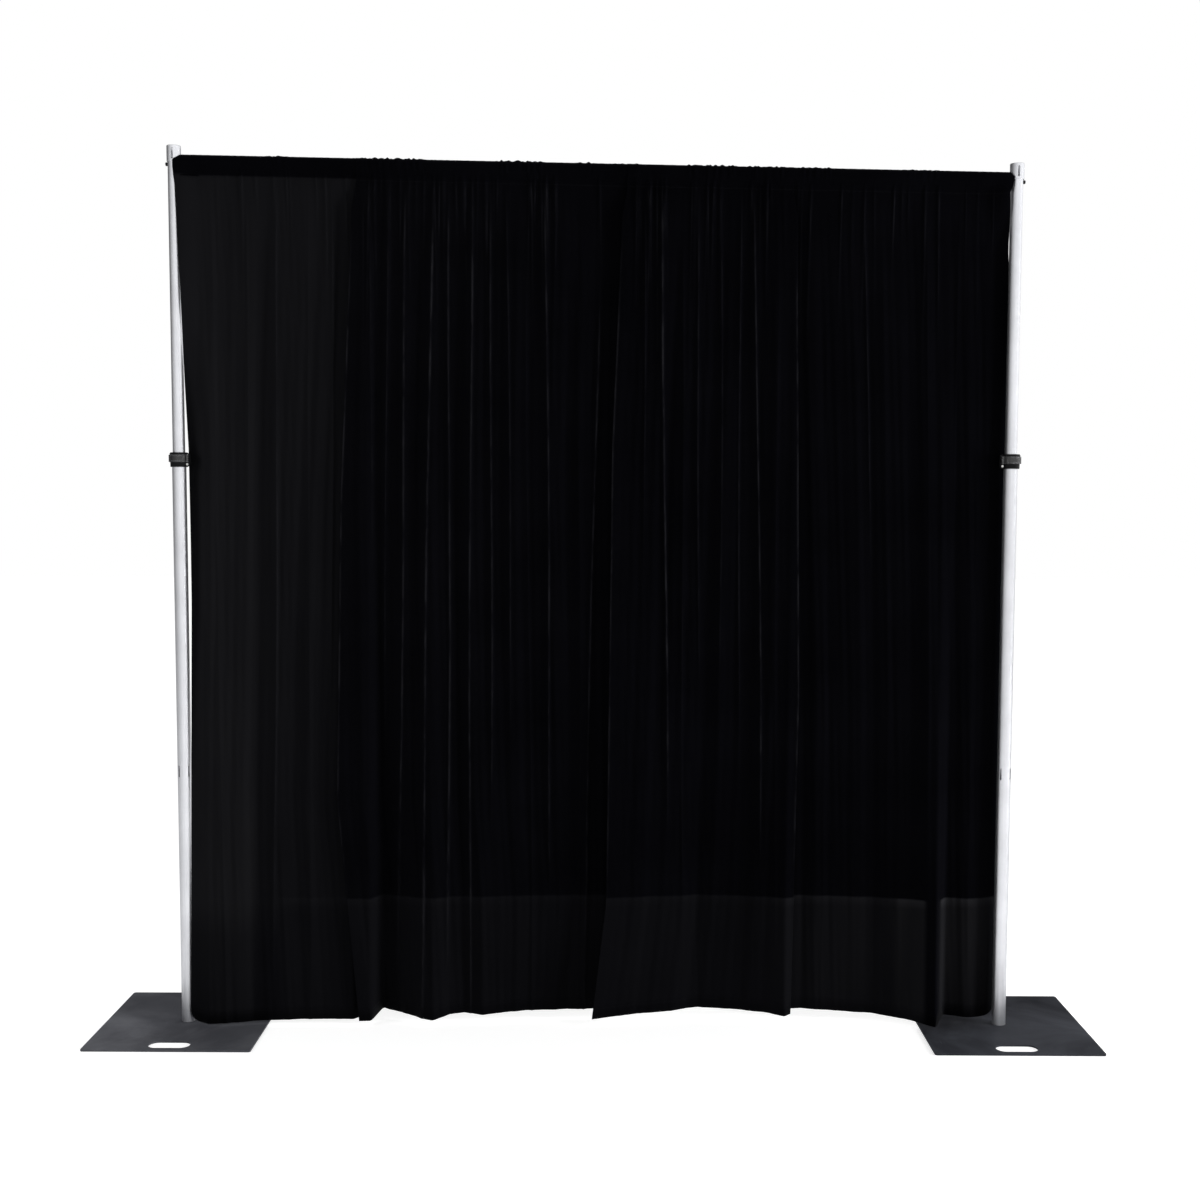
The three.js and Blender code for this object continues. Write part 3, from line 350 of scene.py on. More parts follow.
def platedSteel(name, plate):
    # Pressed or turned steel with bright zinc: cool silver with a faint straw and blue bloom 17 mm
    # wide, a crystal grain of 0.7 mm (1500 to the metre), and rubbed bright corners.
    material, tree, place = startMaterial(name)
    bloom = addNode(tree, "TexNoise", {"Vector": place, "Scale": 60.0, "Detail": 3, "Roughness": 0.6})
    tinted = addNode(tree, "MapRange", [bloom, 0.35, 0.68])
    grain = addNode(tree, "TexVoronoi", {"Vector": place, "Scale": 1500.0}, "Distance", feature="F1")
    crystal = addNode(tree, "MapRange", [grain, 0.1, 0.8, 0, 0.22])
    edge = edgeWearAndHighlight(tree, plate["rub"], 0.97)
    base = layered(tree, plate, "cool", {"straw": tinted, "grain": crystal, "edge": edge})
    skin = embossed(tree, (grain, 0.02, 0.5))
    return surfaced(material, plate, base, skin, bloom, {"Metallic": 1.0})


lathe = {"dark": "#84868a", "light": "#a5a8ab", "oil": "#77756f", "rough": (0.27, 0.4), "bevel": 0.4,
         "pitch": 0.6}      # mm between the rings of the cut


def turnedSteel(name, plate):
    # Bar steel turned on a lathe and oiled: darker than zinc, with the rings of the cut round it.
    material, tree, place = startMaterial(name)
    wobble = addNode(tree, "TexNoise", {"Vector": place, "Scale": 90.0, "Detail": 2})
    height = addNode(tree, "SeparateXYZ", [place], out="Z")
    turns = addNode(tree, "Math", [height, 2 * math.pi / (plate["pitch"] * mm)], operation="MULTIPLY")
    turns = addNode(tree, "Math", [wobble, 2.5, turns], operation="MULTIPLY_ADD")
    ring = addNode(tree, "Math", [turns], operation="SINE")
    crest = addNode(tree, "MapRange", [ring, -1, 1])
    oil = patches(tree, place, {"Scale": 35.0, "Detail": 4, "Roughness": 0.6}, 0.45, 0.7, 0, 0.5)
    base = layered(tree, plate, "dark", {"light": crest, "oil": oil})
    skin = embossed(tree, (ring, 0.02, 0.6))
    return surfaced(material, plate, base, skin, wobble, {"Metallic": 1.0})


nylon = {"dark": "#09090a", "light": "#101011", "fleck": "#1c1c1e", "edge": "#4a4a4d",
         "fibre": 0.35, "grain": 0.8, "rough": (0.35, 0.48), "gloss": 0.10, "rub": 1.1, "bevel": 0.6}
# polished by thumbs; its light grey edges are a painted highlight
leverNylonHighlit = {"dark": "#0c0c0d", "light": "#151516", "fleck": "#242426", "edge": "#8c8c90",
              "fibre": 0.25, "grain": 0.5, "rough": (0.19, 0.32), "gloss": 0.55, "rub": 2.0,
              "bevel": 0.8}
acetal = {"dark": "#0d0d0e", "light": "#131314", "fleck": "#1c1c1e", "edge": "#2c2c2e",
          "fibre": 0.1, "grain": 0.3, "rough": (0.23, 0.36), "gloss": 0.2, "rub": 0.8,
          "bevel": 0.5, "buttonBevel": 0.3}
greyNylon = {"dark": "#86878a", "light": "#949597", "fleck": "#a4a5a7", "edge": "#a9aaac",
             "fibre": 0.2, "grain": 0.5, "rough": (0.45, 0.58), "gloss": 0.4, "rub": 0.8, "bevel": 0.4}
plasticIor = 1.53


def mouldedNylon(name, plastic):
    # Glass-filled nylon or plain acetal, injection moulded: a satin skin, fibres a millimetre long
    # that show as a faint mottle, flow streaks 26 mm wide, and a spark-eroded grain of 0.5 mm.
    material, tree, place = startMaterial(name)
    flow = addNode(tree, "TexNoise", {"Vector": place, "Scale": 38.0, "Detail": 4, "Roughness": 0.6,
                                      "Distortion": 0.8})
    streaked = addNode(tree, "MapRange", [flow, 0.35, 0.7])
    fibre = drawnOut(tree, place, (900, 900, 1500), {"Detail": 3, "Roughness": 0.6})
    fibre = addNode(tree, "MapRange", [fibre, 0.58, 0.72, 0, plastic["fibre"]])
    edge = edgeWearAndHighlight(tree, plastic["rub"], 0.98)
    base = layered(tree, plastic, "dark", {"light": streaked, "fleck": fibre, "edge": edge})
    grain = addNode(tree, "TexNoise", {"Vector": place, "Scale": 2100.0, "Detail": 2})
    skin = embossed(tree, (grain, 0.03, plastic["grain"]))
    return surfaced(material, plastic, base, skin, flow, {"Metallic": 0.0, "IOR": plasticIor,
                    "Specular IOR Level": plastic["gloss"]})


# each finish and its slot
finishes = {
    "leftPlate": (powderCoat("powderCoatedSteelLeft", plates["left"]), "plate_steel"),
    "rightPlate": (powderCoat("powderCoatedSteelRight", plates["right"]), "plate_steel"),
    "uprightTube": (anodised("anodisedTubeUpright", tubes, "z"), "tube_aluminium"),
    "barTube": (anodised("anodisedTubeCrossbar", tubes, "x"), "tube_aluminium"),
    "zinc": (platedSteel("brightZincSteel", zinc), "zinc_steel"),
    "turned": (turnedSteel("turnedSteel", lathe), "turned_steel"),
    "spring": (platedSteel("rolledSpringSteel", spring), "spring_steel"),
    "nylon": (mouldedNylon("mouldedBlackNylon", nylon), "black_nylon"),
    "leverNylonHighlit": (mouldedNylon("mouldedBlackNylonPaintedHighlight", leverNylonHighlit), "black_nylon"),
    "acetal": (mouldedNylon("mouldedBlackAcetal", acetal), "black_acetal"),
    "greyNylon": (mouldedNylon("mouldedGreyNylon", greyNylon), "grey_nylon"),
}
print("materials made:", len(finishes))

# each piece: what its name ends in, its finish and the broken edge in mm
uprightPieces = {
    "spigot": ("turned", lathe["bevel"]),
    "spigot_bolt": ("zinc", zinc["bevel"]),
    "lower_tube": ("uprightTube", tubes["bevel"]),
    "upper_tube": ("uprightTube", tubes["bevel"]),
    "upper_glide": ("greyNylon", greyNylon["bevel"]),
    "head": ("uprightTube", tubes["headBevel"]),
    "head_button": ("acetal", acetal["buttonBevel"]),
    "button_spring": ("spring", spring["bevel"]),
    "lock_body": ("nylon", nylon["bevel"]),
    "lock_lever": ("leverNylonHighlit", leverNylonHighlit["bevel"]),
    "lever_pin": ("zinc", zinc["smallBevel"]),
    "lever_bolt": ("zinc", zinc["smallBevel"]),
    "lock_screw": ("zinc", zinc["smallBevel"]),
    "lever_nut": ("zinc", zinc["nutBevel"]),
    "lock_screw_nut": ("zinc", zinc["nutBevel"]),
}
barPieces = {
    "crossbar_outer_tube": ("barTube", tubes["bevel"]),
    "crossbar_inner_tube": ("barTube", tubes["bevel"]),
    "crossbar_bush": ("acetal", acetal["bevel"]),
    "crossbar_glide": ("acetal", acetal["bevel"]),
}
hookPieces = {
    "hook": ("zinc", zinc["bevel"]),
    "hook_plug": ("turned", lathe["bevel"]),
    "hook_rivet": ("zinc", zinc["smallBevel"]),
}
sharpFrom, flatWithin = math.radians(35), math.radians(0.4)
weldWithin = 0.002 * mm
bodyOf = {node: body for body, nodes in frame["record"]["behaviour"]["bodies"].items()
          for node in nodes}


def finishedPiece(node, finish, edge):
    # the CAD shape with its loose triangles welded, flat faces joined, and every sharp edge broken
    material, slot = finishes[finish]
    work = bmesh.new()
    work.from_mesh(frame["nodes"][node].data)
    bmesh.ops.remove_doubles(work, verts=work.verts, dist=weldWithin)
    bmesh.ops.dissolve_limit(work, angle_limit=flatWithin, verts=work.verts, edges=work.edges)
    mesh = bpy.data.meshes.new(node + "_finished")
    work.to_mesh(mesh)
    work.free()
    mesh.polygons.foreach_set("use_smooth", np.ones(len(mesh.polygons), bool))
    mesh.set_sharp_from_angle(angle=sharpFrom)
    mesh.materials.append(material)
    piece = addObject(node + "_finished", mesh)
    broken = piece.modifiers.new("brokenEdge", "BEVEL")
    broken.width = edge * mm
    broken.segments = 2
    broken.limit_method = "ANGLE"
    broken.angle_limit = sharpFrom
    broken.harden_normals = True
    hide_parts(node)
    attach(piece, bodyOf[node])
    return piece


for side in ("left", "right"):
    finishedPiece(side + "_base_plate", side + "Plate", plates["bevel"])
    made = {name: finishedPiece(side + "_" + name, *how) for name, how in uprightPieces.items()}
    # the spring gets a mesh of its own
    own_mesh(made["button_spring"])
for node, how in barPieces.items():
    finishedPiece(node, *how)
for name, how in hookPieces.items():
    for side in ("left", "right"):
        finishedPiece(side + "_" + name, *how)
print("metal and nylon pieces finished")

# the drape: four panels of black cloth, each a rod pocket on the crossbar and a skirt below
hang = {
    "halfSpacing": 1.524,       # from the middle to each upright's axis
    "barAtLeft": 3.189,         # height of the crossbar's axis at the left upright's
    "tilt": math.atan(0.060 / 3.048),   # the bar falls 60 mm to the right
    "outerBar": 19.05 * mm,
    "innerBar": 15.875 * mm,
    "mouthAt": 0.2297,          # where the outer tube ends, along X
    "mouthEase": (18 * mm, 78 * mm),    # past it, from and to where the pocket narrows
    "pocketDrop": 56 * mm,      # from the bar's axis down to the seam
    "pocketSlack": 6.0 * mm,
    "pocketRest": 1.25 * mm,    # middle of the cloth above the thicker bar, so it can slide along both
    "seamGap": 1.4 * mm,        # between the back and the front of the pocket at the seam
    "clothThickness": 0.7 * mm,
    "lane": 12.0 * mm,          # how far a lapped border hangs in front or behind,
    "laneFade": 0.25,           # how far in from it that fades,
    "laneSettles": 0.0385,      # and by what share of the skirt it is reached
    "frontLap": 1.0 * mm,       # how much further out a pocket in front rides
    "joinFade": 0.2,            # what is left of the folds where two panels meet
    "edgeBlend": 0.09,          # how far in a border flattens the folds
    "flareReach": 0.08,         # how far in a pocket's free end flares
    "hemSwing": 60.0 * mm,      # what the hem's path counts in,
    "hemLow": 11.5 * mm,        # and its height where it swings furthest forward,
    "hemRise": 29.0 * mm,       # and how much higher it is furthest back
    "headStandoff": 27.5 * mm,      # what the tables of the pocket's ends count in
    "selvedgeReach": 40.0 * mm,     # and those of the selvedges
    "overlap": 16.0 * mm,
    "cornerRound": 38.0 * mm,
    "flatWidth": {"drape_left": 0.76, "drape_mid_left": 1.22, "drape_mid_right": 0.76,
                  "drape_right": 0.97},
    "flatLength": 3.36,
}

# The pocket's rows count from 0 at the seam behind the bar, up its back to 2, over it to 6 and down
# its front to 8. Each row at a free end: how far in from the upright's axis the pocket ends, how
# far back it flares, and how much of that flare the row takes.
pocketPath = (2, 6, 8)
pocketEnd = {
    "left": [1, 1, 1, 1, 1, 0.945, 0.073, 0.073, 0.145],
    "right": [1.055, 1, 1, 1, 1, 0.945, 0.545, 0.764, 1.055],
}
pocketFlare = {
    "left": [-0.98, 0, 0, 0, 0, -0.673, -1.073, -1.055, -0.98],
    "right": [-0.8, 0, 0, 0, 0, -0.673, -1.073, -1.055, -0.8],
}
flareRows = [1, 0, 0, 0, 0, 1, 1, 1, 1]

# down the free edges: share of the skirt, how far in from the upright's axis and how far back
selvedge = {
    "left": [(0, 0.16, -0.675), (0.0385, 0.3, -0.6625), (0.1347, 0.56, -0.625), (0.24, 0.615, 0.06),
             (0.3207, 0.72, 0.6), (0.42, 0.77, 0.57), (0.5, 0.8, 0.42), (0.6, 0.77, 0.02),
             (0.7487, 0.675, -0.35), (1, 0.475, -0.9)],
    "right": [(0, 0.725, -0.55), (0.0385, 0.59, -0.15), (0.055, 0.607, 0.06), (0.069, 0.54, 0.32),
              (0.085, 0.43, 0.48), (0.11, 0.39, 0.57), (0.1347, 0.38, 0.62), (0.3207, 0.31, 0.95),
              (0.4973, 0.33, 0.95), (0.7487, 0.325, 0.95), (1, 0.35, 0.9)],
}

# where two panels meet: share of the skirt, and x as a share of half the spacing
panelLines = {
    "leftOfMiddle": [(0, -0.5643), (0.377, -0.6004), (0.735, -0.6148), (1, -0.5643)],
    "middle": [(0, 0.0787), (0.305, 0.0531), (0.86, 0.0413), (1, 0.0072)],
    "rightOfMiddle": [(0, 0.4692), (0.6, 0.4888), (1, 0.4783)],
}

# the hem's path: x as a share of half the spacing, and y as a share of its swing, which lifts it
hems = {
    "drape_left": [(-0.9875, -0.61), (-0.9429, -1), (-0.8051, -0.54), (-0.6778, -0.36), (-0.5906, -0.4),
                   (-0.5774, -0.15), (-0.5577, 0.05)],
    "drape_mid_left": [(-0.5748, -0.6), (-0.5446, -0.56), (-0.5236, 0.9), (-0.395, -0.55),
                       (-0.3543, 0.2), (-0.3215, 0.39), (-0.2743, 0.13), (-0.1732, 0.64),
                       (0.0066, 0.88)],
    "drape_mid_right": [(-0.0033, -0.32), (0.0794, 0.2), (0.1936, 0.66), (0.2585, 1.1), (0.3714, 0.8),
                        (0.4331, 0.48), (0.4724, 0.08), (0.4888, 0.4)],
    "drape_right": [(0.4856, 0.95), (0.5177, 1), (0.6903, 0.51), (0.7677, -0.11), (0.8005, -0.51),
                    (0.8373, -1), (0.8648, 0.39), (0.9186, 0.14), (0.9829, 0.08)],
}

# creases that stay in a fold line: x at the seam, x at the hem, depth in mm, width in mm (steeper
# on the right), and the shares of the height where it starts and has gone
creases = {
    "drape_left": [
        (-1.150, -1.196, 9, 16, 0.0, 1.0), (-1.262, -1.292, 4, 12, 0.0, 0.45),
        (-1.395, -1.372, 5, 30, 0.05, 1.2), (-1.040, -1.060, 5, 26, 0.0, 1.1),
        (-0.952, -0.985, 6, 14, 0.0, 0.7), (-1.462, -1.440, 4, 18, 0.1, 0.9),
    ],
    "drape_mid_left": [
        (-0.812, -0.838, 5, 12, 0.0, 0.5), (-0.752, -0.790, 6, 14, 0.0, 0.75),
        (-0.684, -0.738, 9, 13, 0.0, 1.0), (-0.590, -0.648, 10, 12, 0.0, 1.1),
        (-0.528, -0.548, 8, 12, 0.0, 1.0), (-0.448, -0.468, 10, 13, 0.0, 1.1),
        (-0.376, -0.388, 7, 12, 0.0, 0.8), (-0.322, -0.300, 7, 14, 0.0, 0.7),
        (-0.181, -0.160, 9, 13, 0.0, 0.9), (-0.060, -0.052, 4, 24, 0.1, 1.1),
        (0.022, -0.040, 8, 12, 0.12, 1.2), (-0.250, -0.232, 5, 22, 0.1, 1.2),
    ],
    "drape_mid_right": [
        (0.178, 0.190, 5, 12, 0.0, 0.5), (0.243, 0.282, 9, 12, 0.0, 0.8),
        (0.316, 0.338, 5, 20, 0.05, 1.0), (0.372, 0.402, 6, 12, 0.0, 0.65),
        (0.458, 0.470, 6, 13, 0.0, 0.7), (0.526, 0.546, 6, 12, 0.0, 0.75),
        (0.578, 0.636, 8, 12, 0.0, 0.85), (0.664, 0.680, 4, 20, 0.1, 1.1),
    ],
    "drape_right": [
        (0.724, 0.770, 5, 12, 0.0, 0.6), (0.846, 0.862, 2, 26, 0.1, 1.1),
        (0.966, 1.092, 6, 14, 0.0, 0.5), (1.046, 1.110, 2, 26, 0.05, 1.0),
        (1.205, 1.252, 3.5, 16, 0.0, 0.8), (1.318, 1.330, 2.5, 14, 0.0, 0.5),
        (1.400, 1.404, 2, 30, 0.1, 1.1), (1.462, 1.452, 2.5, 18, 0.1, 1.1),
    ],
}

# where the pocket is bunched on the bar: from x, to x and how high it stands, in mm
bunches = [
    (-1.180, -1.120, 5), (-0.870, -0.625, 7), (-0.345, -0.195, 7), (-0.055, -0.015, 6),
    (0.085, 0.150, 6), (0.340, 0.505, 6), (0.555, 0.850, 5), (1.12, 1.24, 3),
]

# short gathers under the seam: how many in each panel, and where two in three of them crowd
gathers = {
    "drape_left": (16, [(-1.34, -1.10), (-1.02, -0.87)]),
    "drape_mid_left": (80, [(-0.85, -0.30), (-0.24, -0.14)]),
    "drape_mid_right": (44, [(0.14, 0.26), (0.34, 0.66)]),
    "drape_right": (18, [(0.72, 0.80), (0.92, 1.08), (1.16, 1.30)]),
}
tucks = {"crowded": 0.68, "height": (1.0, 3.6), "width": (3.5, 6.5), "sharp": 2.2,      # mm
         "length": (0.08, 0.5), "lean": 0.05}                                           # m, m to the m

# painted light: low down, the light that shows through the thin cloth is painted into its colour,
# between the fold lines: x and how much there
paintedGlimpses = [(-1.20, 0.2), (-1.15, 0.4), (-0.9, 0.36), (-0.64, 0.36), (-0.35, 0.3), (-0.05, 0.3),
            (0.17, 0.32), (0.61, 0.32), (0.76, 0.55), (1.016, 0.58), (1.053, 0.48), (1.12, 0.48),
            (1.148, 0.95), (1.228, 0.95), (1.245, 0), (1.268, 0), (1.288, 0.15), (1.302, 1),
            (1.38, 1), (1.42, 0.9), (1.5, 0.85)]
# and all the way down by each panel's own share, "lift", times these
throughLightShares = {
    "line": (-1.24, -1.20, -0.05),      # right of this line (x from and to, and its lean down the
    "inside": (0.12, 0.62),             # skirt) it is less by so much, at the seam and at the hem
    "downwards": (0.85, 1.1),           # at the seam and at the hem
    "nearFloor": (0.3, 0.5, 0.55),      # heights from and to, and what is left under them
    "middle": (-0.6, -0.05, 0.2),       # x from and to, and what is left past it
    "turnUp": (0.045, 0.5),             # height of the double hem, and how much less it lets through
}

# each panel's two borders and how it laps there (-1 in front, 1 behind, 0 free), its broad folds
# (how many, how they drift and start, in turns, and their depth in mm), and its light let through
panels = {
    "drape_left": {"start": "left", "end": "leftOfMiddle", "laneStart": 0, "laneEnd": 1, "waves": 4.3,
                   "drift": 0.5, "phase": 0.1, "depth": 5.5, "columns": 330, "lift": 1.0},
    "drape_mid_left": {"start": "leftOfMiddle", "end": "middle", "laneStart": -1, "laneEnd": 1,
                       "waves": 7.4, "drift": -0.5, "phase": 0.4, "depth": 6, "columns": 500,
                       "lift": 0.1},
    "drape_mid_right": {"start": "middle", "end": "rightOfMiddle", "laneStart": -1, "laneEnd": -1,
                        "waves": 4.6, "drift": 0.4, "phase": 0.7, "depth": 5.5, "columns": 320,
                        "lift": 0.0},
    "drape_right": {"start": "rightOfMiddle", "end": "right", "laneStart": 1, "laneEnd": 0,
                    "waves": 5.7, "drift": -0.4, "phase": 0.25, "depth": 4.5, "columns": 410,
                    "lift": 0.1},
}
pocketRows = 31
skirtRows = 64


def smoothstep(value, low, high):
    t = np.clip((value - low) / (high - low), 0, 1)
    return t * t * (3 - 2 * t)


def lerp(a, b, t):
    return a + (b - a) * t


def seamHeight(x):
    # a line that falls with the crossbar
    seamAtLeft = hang["barAtLeft"] - hang["pocketDrop"]
    return seamAtLeft - (x + hang["halfSpacing"]) * math.tan(hang["tilt"])


def barRadius(x):
    # the outer tube's, and the inner one's past its mouth
    past = x - hang["mouthAt"]
    return lerp(hang["outerBar"], hang["innerBar"], smoothstep(past, *hang["mouthEase"]))


def tableLine(rows, at):
    # straight from each of the table's points to the next
    table = np.array(rows, float)
    return np.interp(at, table[:, 0], table[:, 1])


def hemWander(name, x):
    # the hem's path over the floor, its kinks rounded: the mean of nine places within 10 mm either
    # way, weighed by a cosine
    spread = np.linspace(-1, 1, 9)
    weight = np.cos(spread * math.pi / 2) + 0.02
    at = x[..., None] + spread * 0.010
    return (tableLine(hems[name], at / hang["halfSpacing"]) * weight).sum(-1) / weight.sum()


def gatherRelief(name, x, drop):
    # short tucks, each with its own place, size and lean, that stand forward and die out downwards:
    # relief = sum of height * exp(-(distance / width)^2 - (drop / length)^2)
    count, crowds = gathers[name]
    source = np.random.default_rng(sum(map(ord, name)))
    low, high = float(x.min()), float(x.max())
    inCrowd = source.random(count) < tucks["crowded"]
    pick = source.integers(0, len(crowds), count)
    near = np.array(crowds)[pick]
    place = np.where(inCrowd, lerp(near[:, 0], near[:, 1], source.random(count)),
                     lerp(low, high, source.random(count)))
    height = lerp(*tucks["height"], source.random(count)) * mm
    width = lerp(*tucks["width"], source.random(count)) * mm
    length = lerp(*tucks["length"], source.random(count) ** 2.4)
    lean = (source.random(count) - 0.5) * tucks["lean"]
    relief = np.zeros(np.broadcast(x, drop).shape)
    paintedHighlight = np.zeros(relief.shape)
    for at, tall, wide, long, slope in zip(place, height, width, length, lean):
        away = x - at - slope * drop
        relief += tall * np.exp(-(away / wide) ** 2 - (drop / long) ** 2)
        # painted highlight: a pale line along each tuck's right flank, stronger on the taller tucks
        line = np.exp(-((away - 0.6 * wide) / (tucks["sharp"] * mm)) ** 2 - (drop / long) ** 2)
        paintedHighlight = np.maximum(paintedHighlight, 0.7 * line * (tall / mm / tucks["height"][1]) ** 2)
    return relief, paintedHighlight


def creaseRelief(name, x, share):
    # long creases, a ridge with a rounded tip each between its two ends down the skirt:
    # relief = sum of depth * exp(-(sqrt(d^2 + e^2) - e) / w), w = 0.38 width to the right of the
    # line and 0.55 width to its left, as a lapped fold lies, and e = tip. The deep and narrow ones
    # get a painted highlight along a line just right of their tip.
    relief = np.zeros(x.shape)
    paintedHighlight = np.zeros(x.shape)
    tip = 2.2 * mm
    for top, bottom, depth, width, begins, ends in creases[name]:
        bend = 0.004 * np.sin(share * 7 + top * 40)
        away = x - lerp(top, bottom, share) - bend
        flank = width * mm * np.where(away > 0, 0.38, 0.55)
        ridge = np.exp(-(np.sqrt(away ** 2 + tip ** 2) - tip) / flank)
        along = smoothstep(share, begins - 0.02, begins + 0.10)
        along = along * (1 - smoothstep(share, ends - 0.22, ends))
        relief += depth * mm * ridge * along
        strength = max(0.0, min(1.0, (depth - 3.5) / 5.5)) * (12 / max(width, 12)) ** 2
        line = np.exp(-((away - 2.0 * mm) / ((2.0 + 1.4 * strength) * mm)) ** 2)
        paintedHighlight = np.maximum(paintedHighlight, line * along * strength)
    return relief, paintedHighlight


def bunchRelief(x, turn):
    # puckers of the pocket round the bar, higher where it is bunched: relief = (0.5 + bunch) * ripple,
    # two sines 31 and 19.5 mm long that wander along x and turn round the bar, from 0 behind it to 1
    along = x * 2 * math.pi
    ripple = np.sin(along / 0.031 + 1.6 * np.sin(along / 0.11) + 2.2 * turn)
    ripple = ripple + 0.6 * np.sin(along / 0.0195 + 2.0 * np.sin(along / 0.083) - 3 * turn)
    ripple = np.clip(0.62 + 0.62 * ripple, 0, None)
    window = np.zeros(x.shape)
    for low, high, tall in bunches:
        window = np.maximum(window, tall * smoothstep(x, low - 0.02, low + 0.01)
                            * (1 - smoothstep(x, high - 0.01, high + 0.02)))
    return (0.5 + window) * ripple * 0.42 * mm


def edgeX(panel, which, share, row):
    # the panel's border: beside an upright it follows the pocket's end and the selvedge, elsewhere
    # the line where it meets its neighbour
    side = panel[which]
    inward = 1 if which == "start" else -1
    if side in selvedge:
        axis = -inward * hang["halfSpacing"]
        own = tableLine([s[:2] for s in selvedge[side]], share) * hang["selvedgeReach"]
        pocket = np.interp(row, range(len(pocketEnd[side])), pocketEnd[side]) * hang["headStandoff"]
        return axis + inward * np.where(share > 0, own, pocket)
    line = tableLine(panelLines[side], share) * hang["halfSpacing"]
    lap = lerp(-3.0 * mm, -hang["overlap"], smoothstep(share, 0, hang["laneSettles"]))
    return line + inward * lap


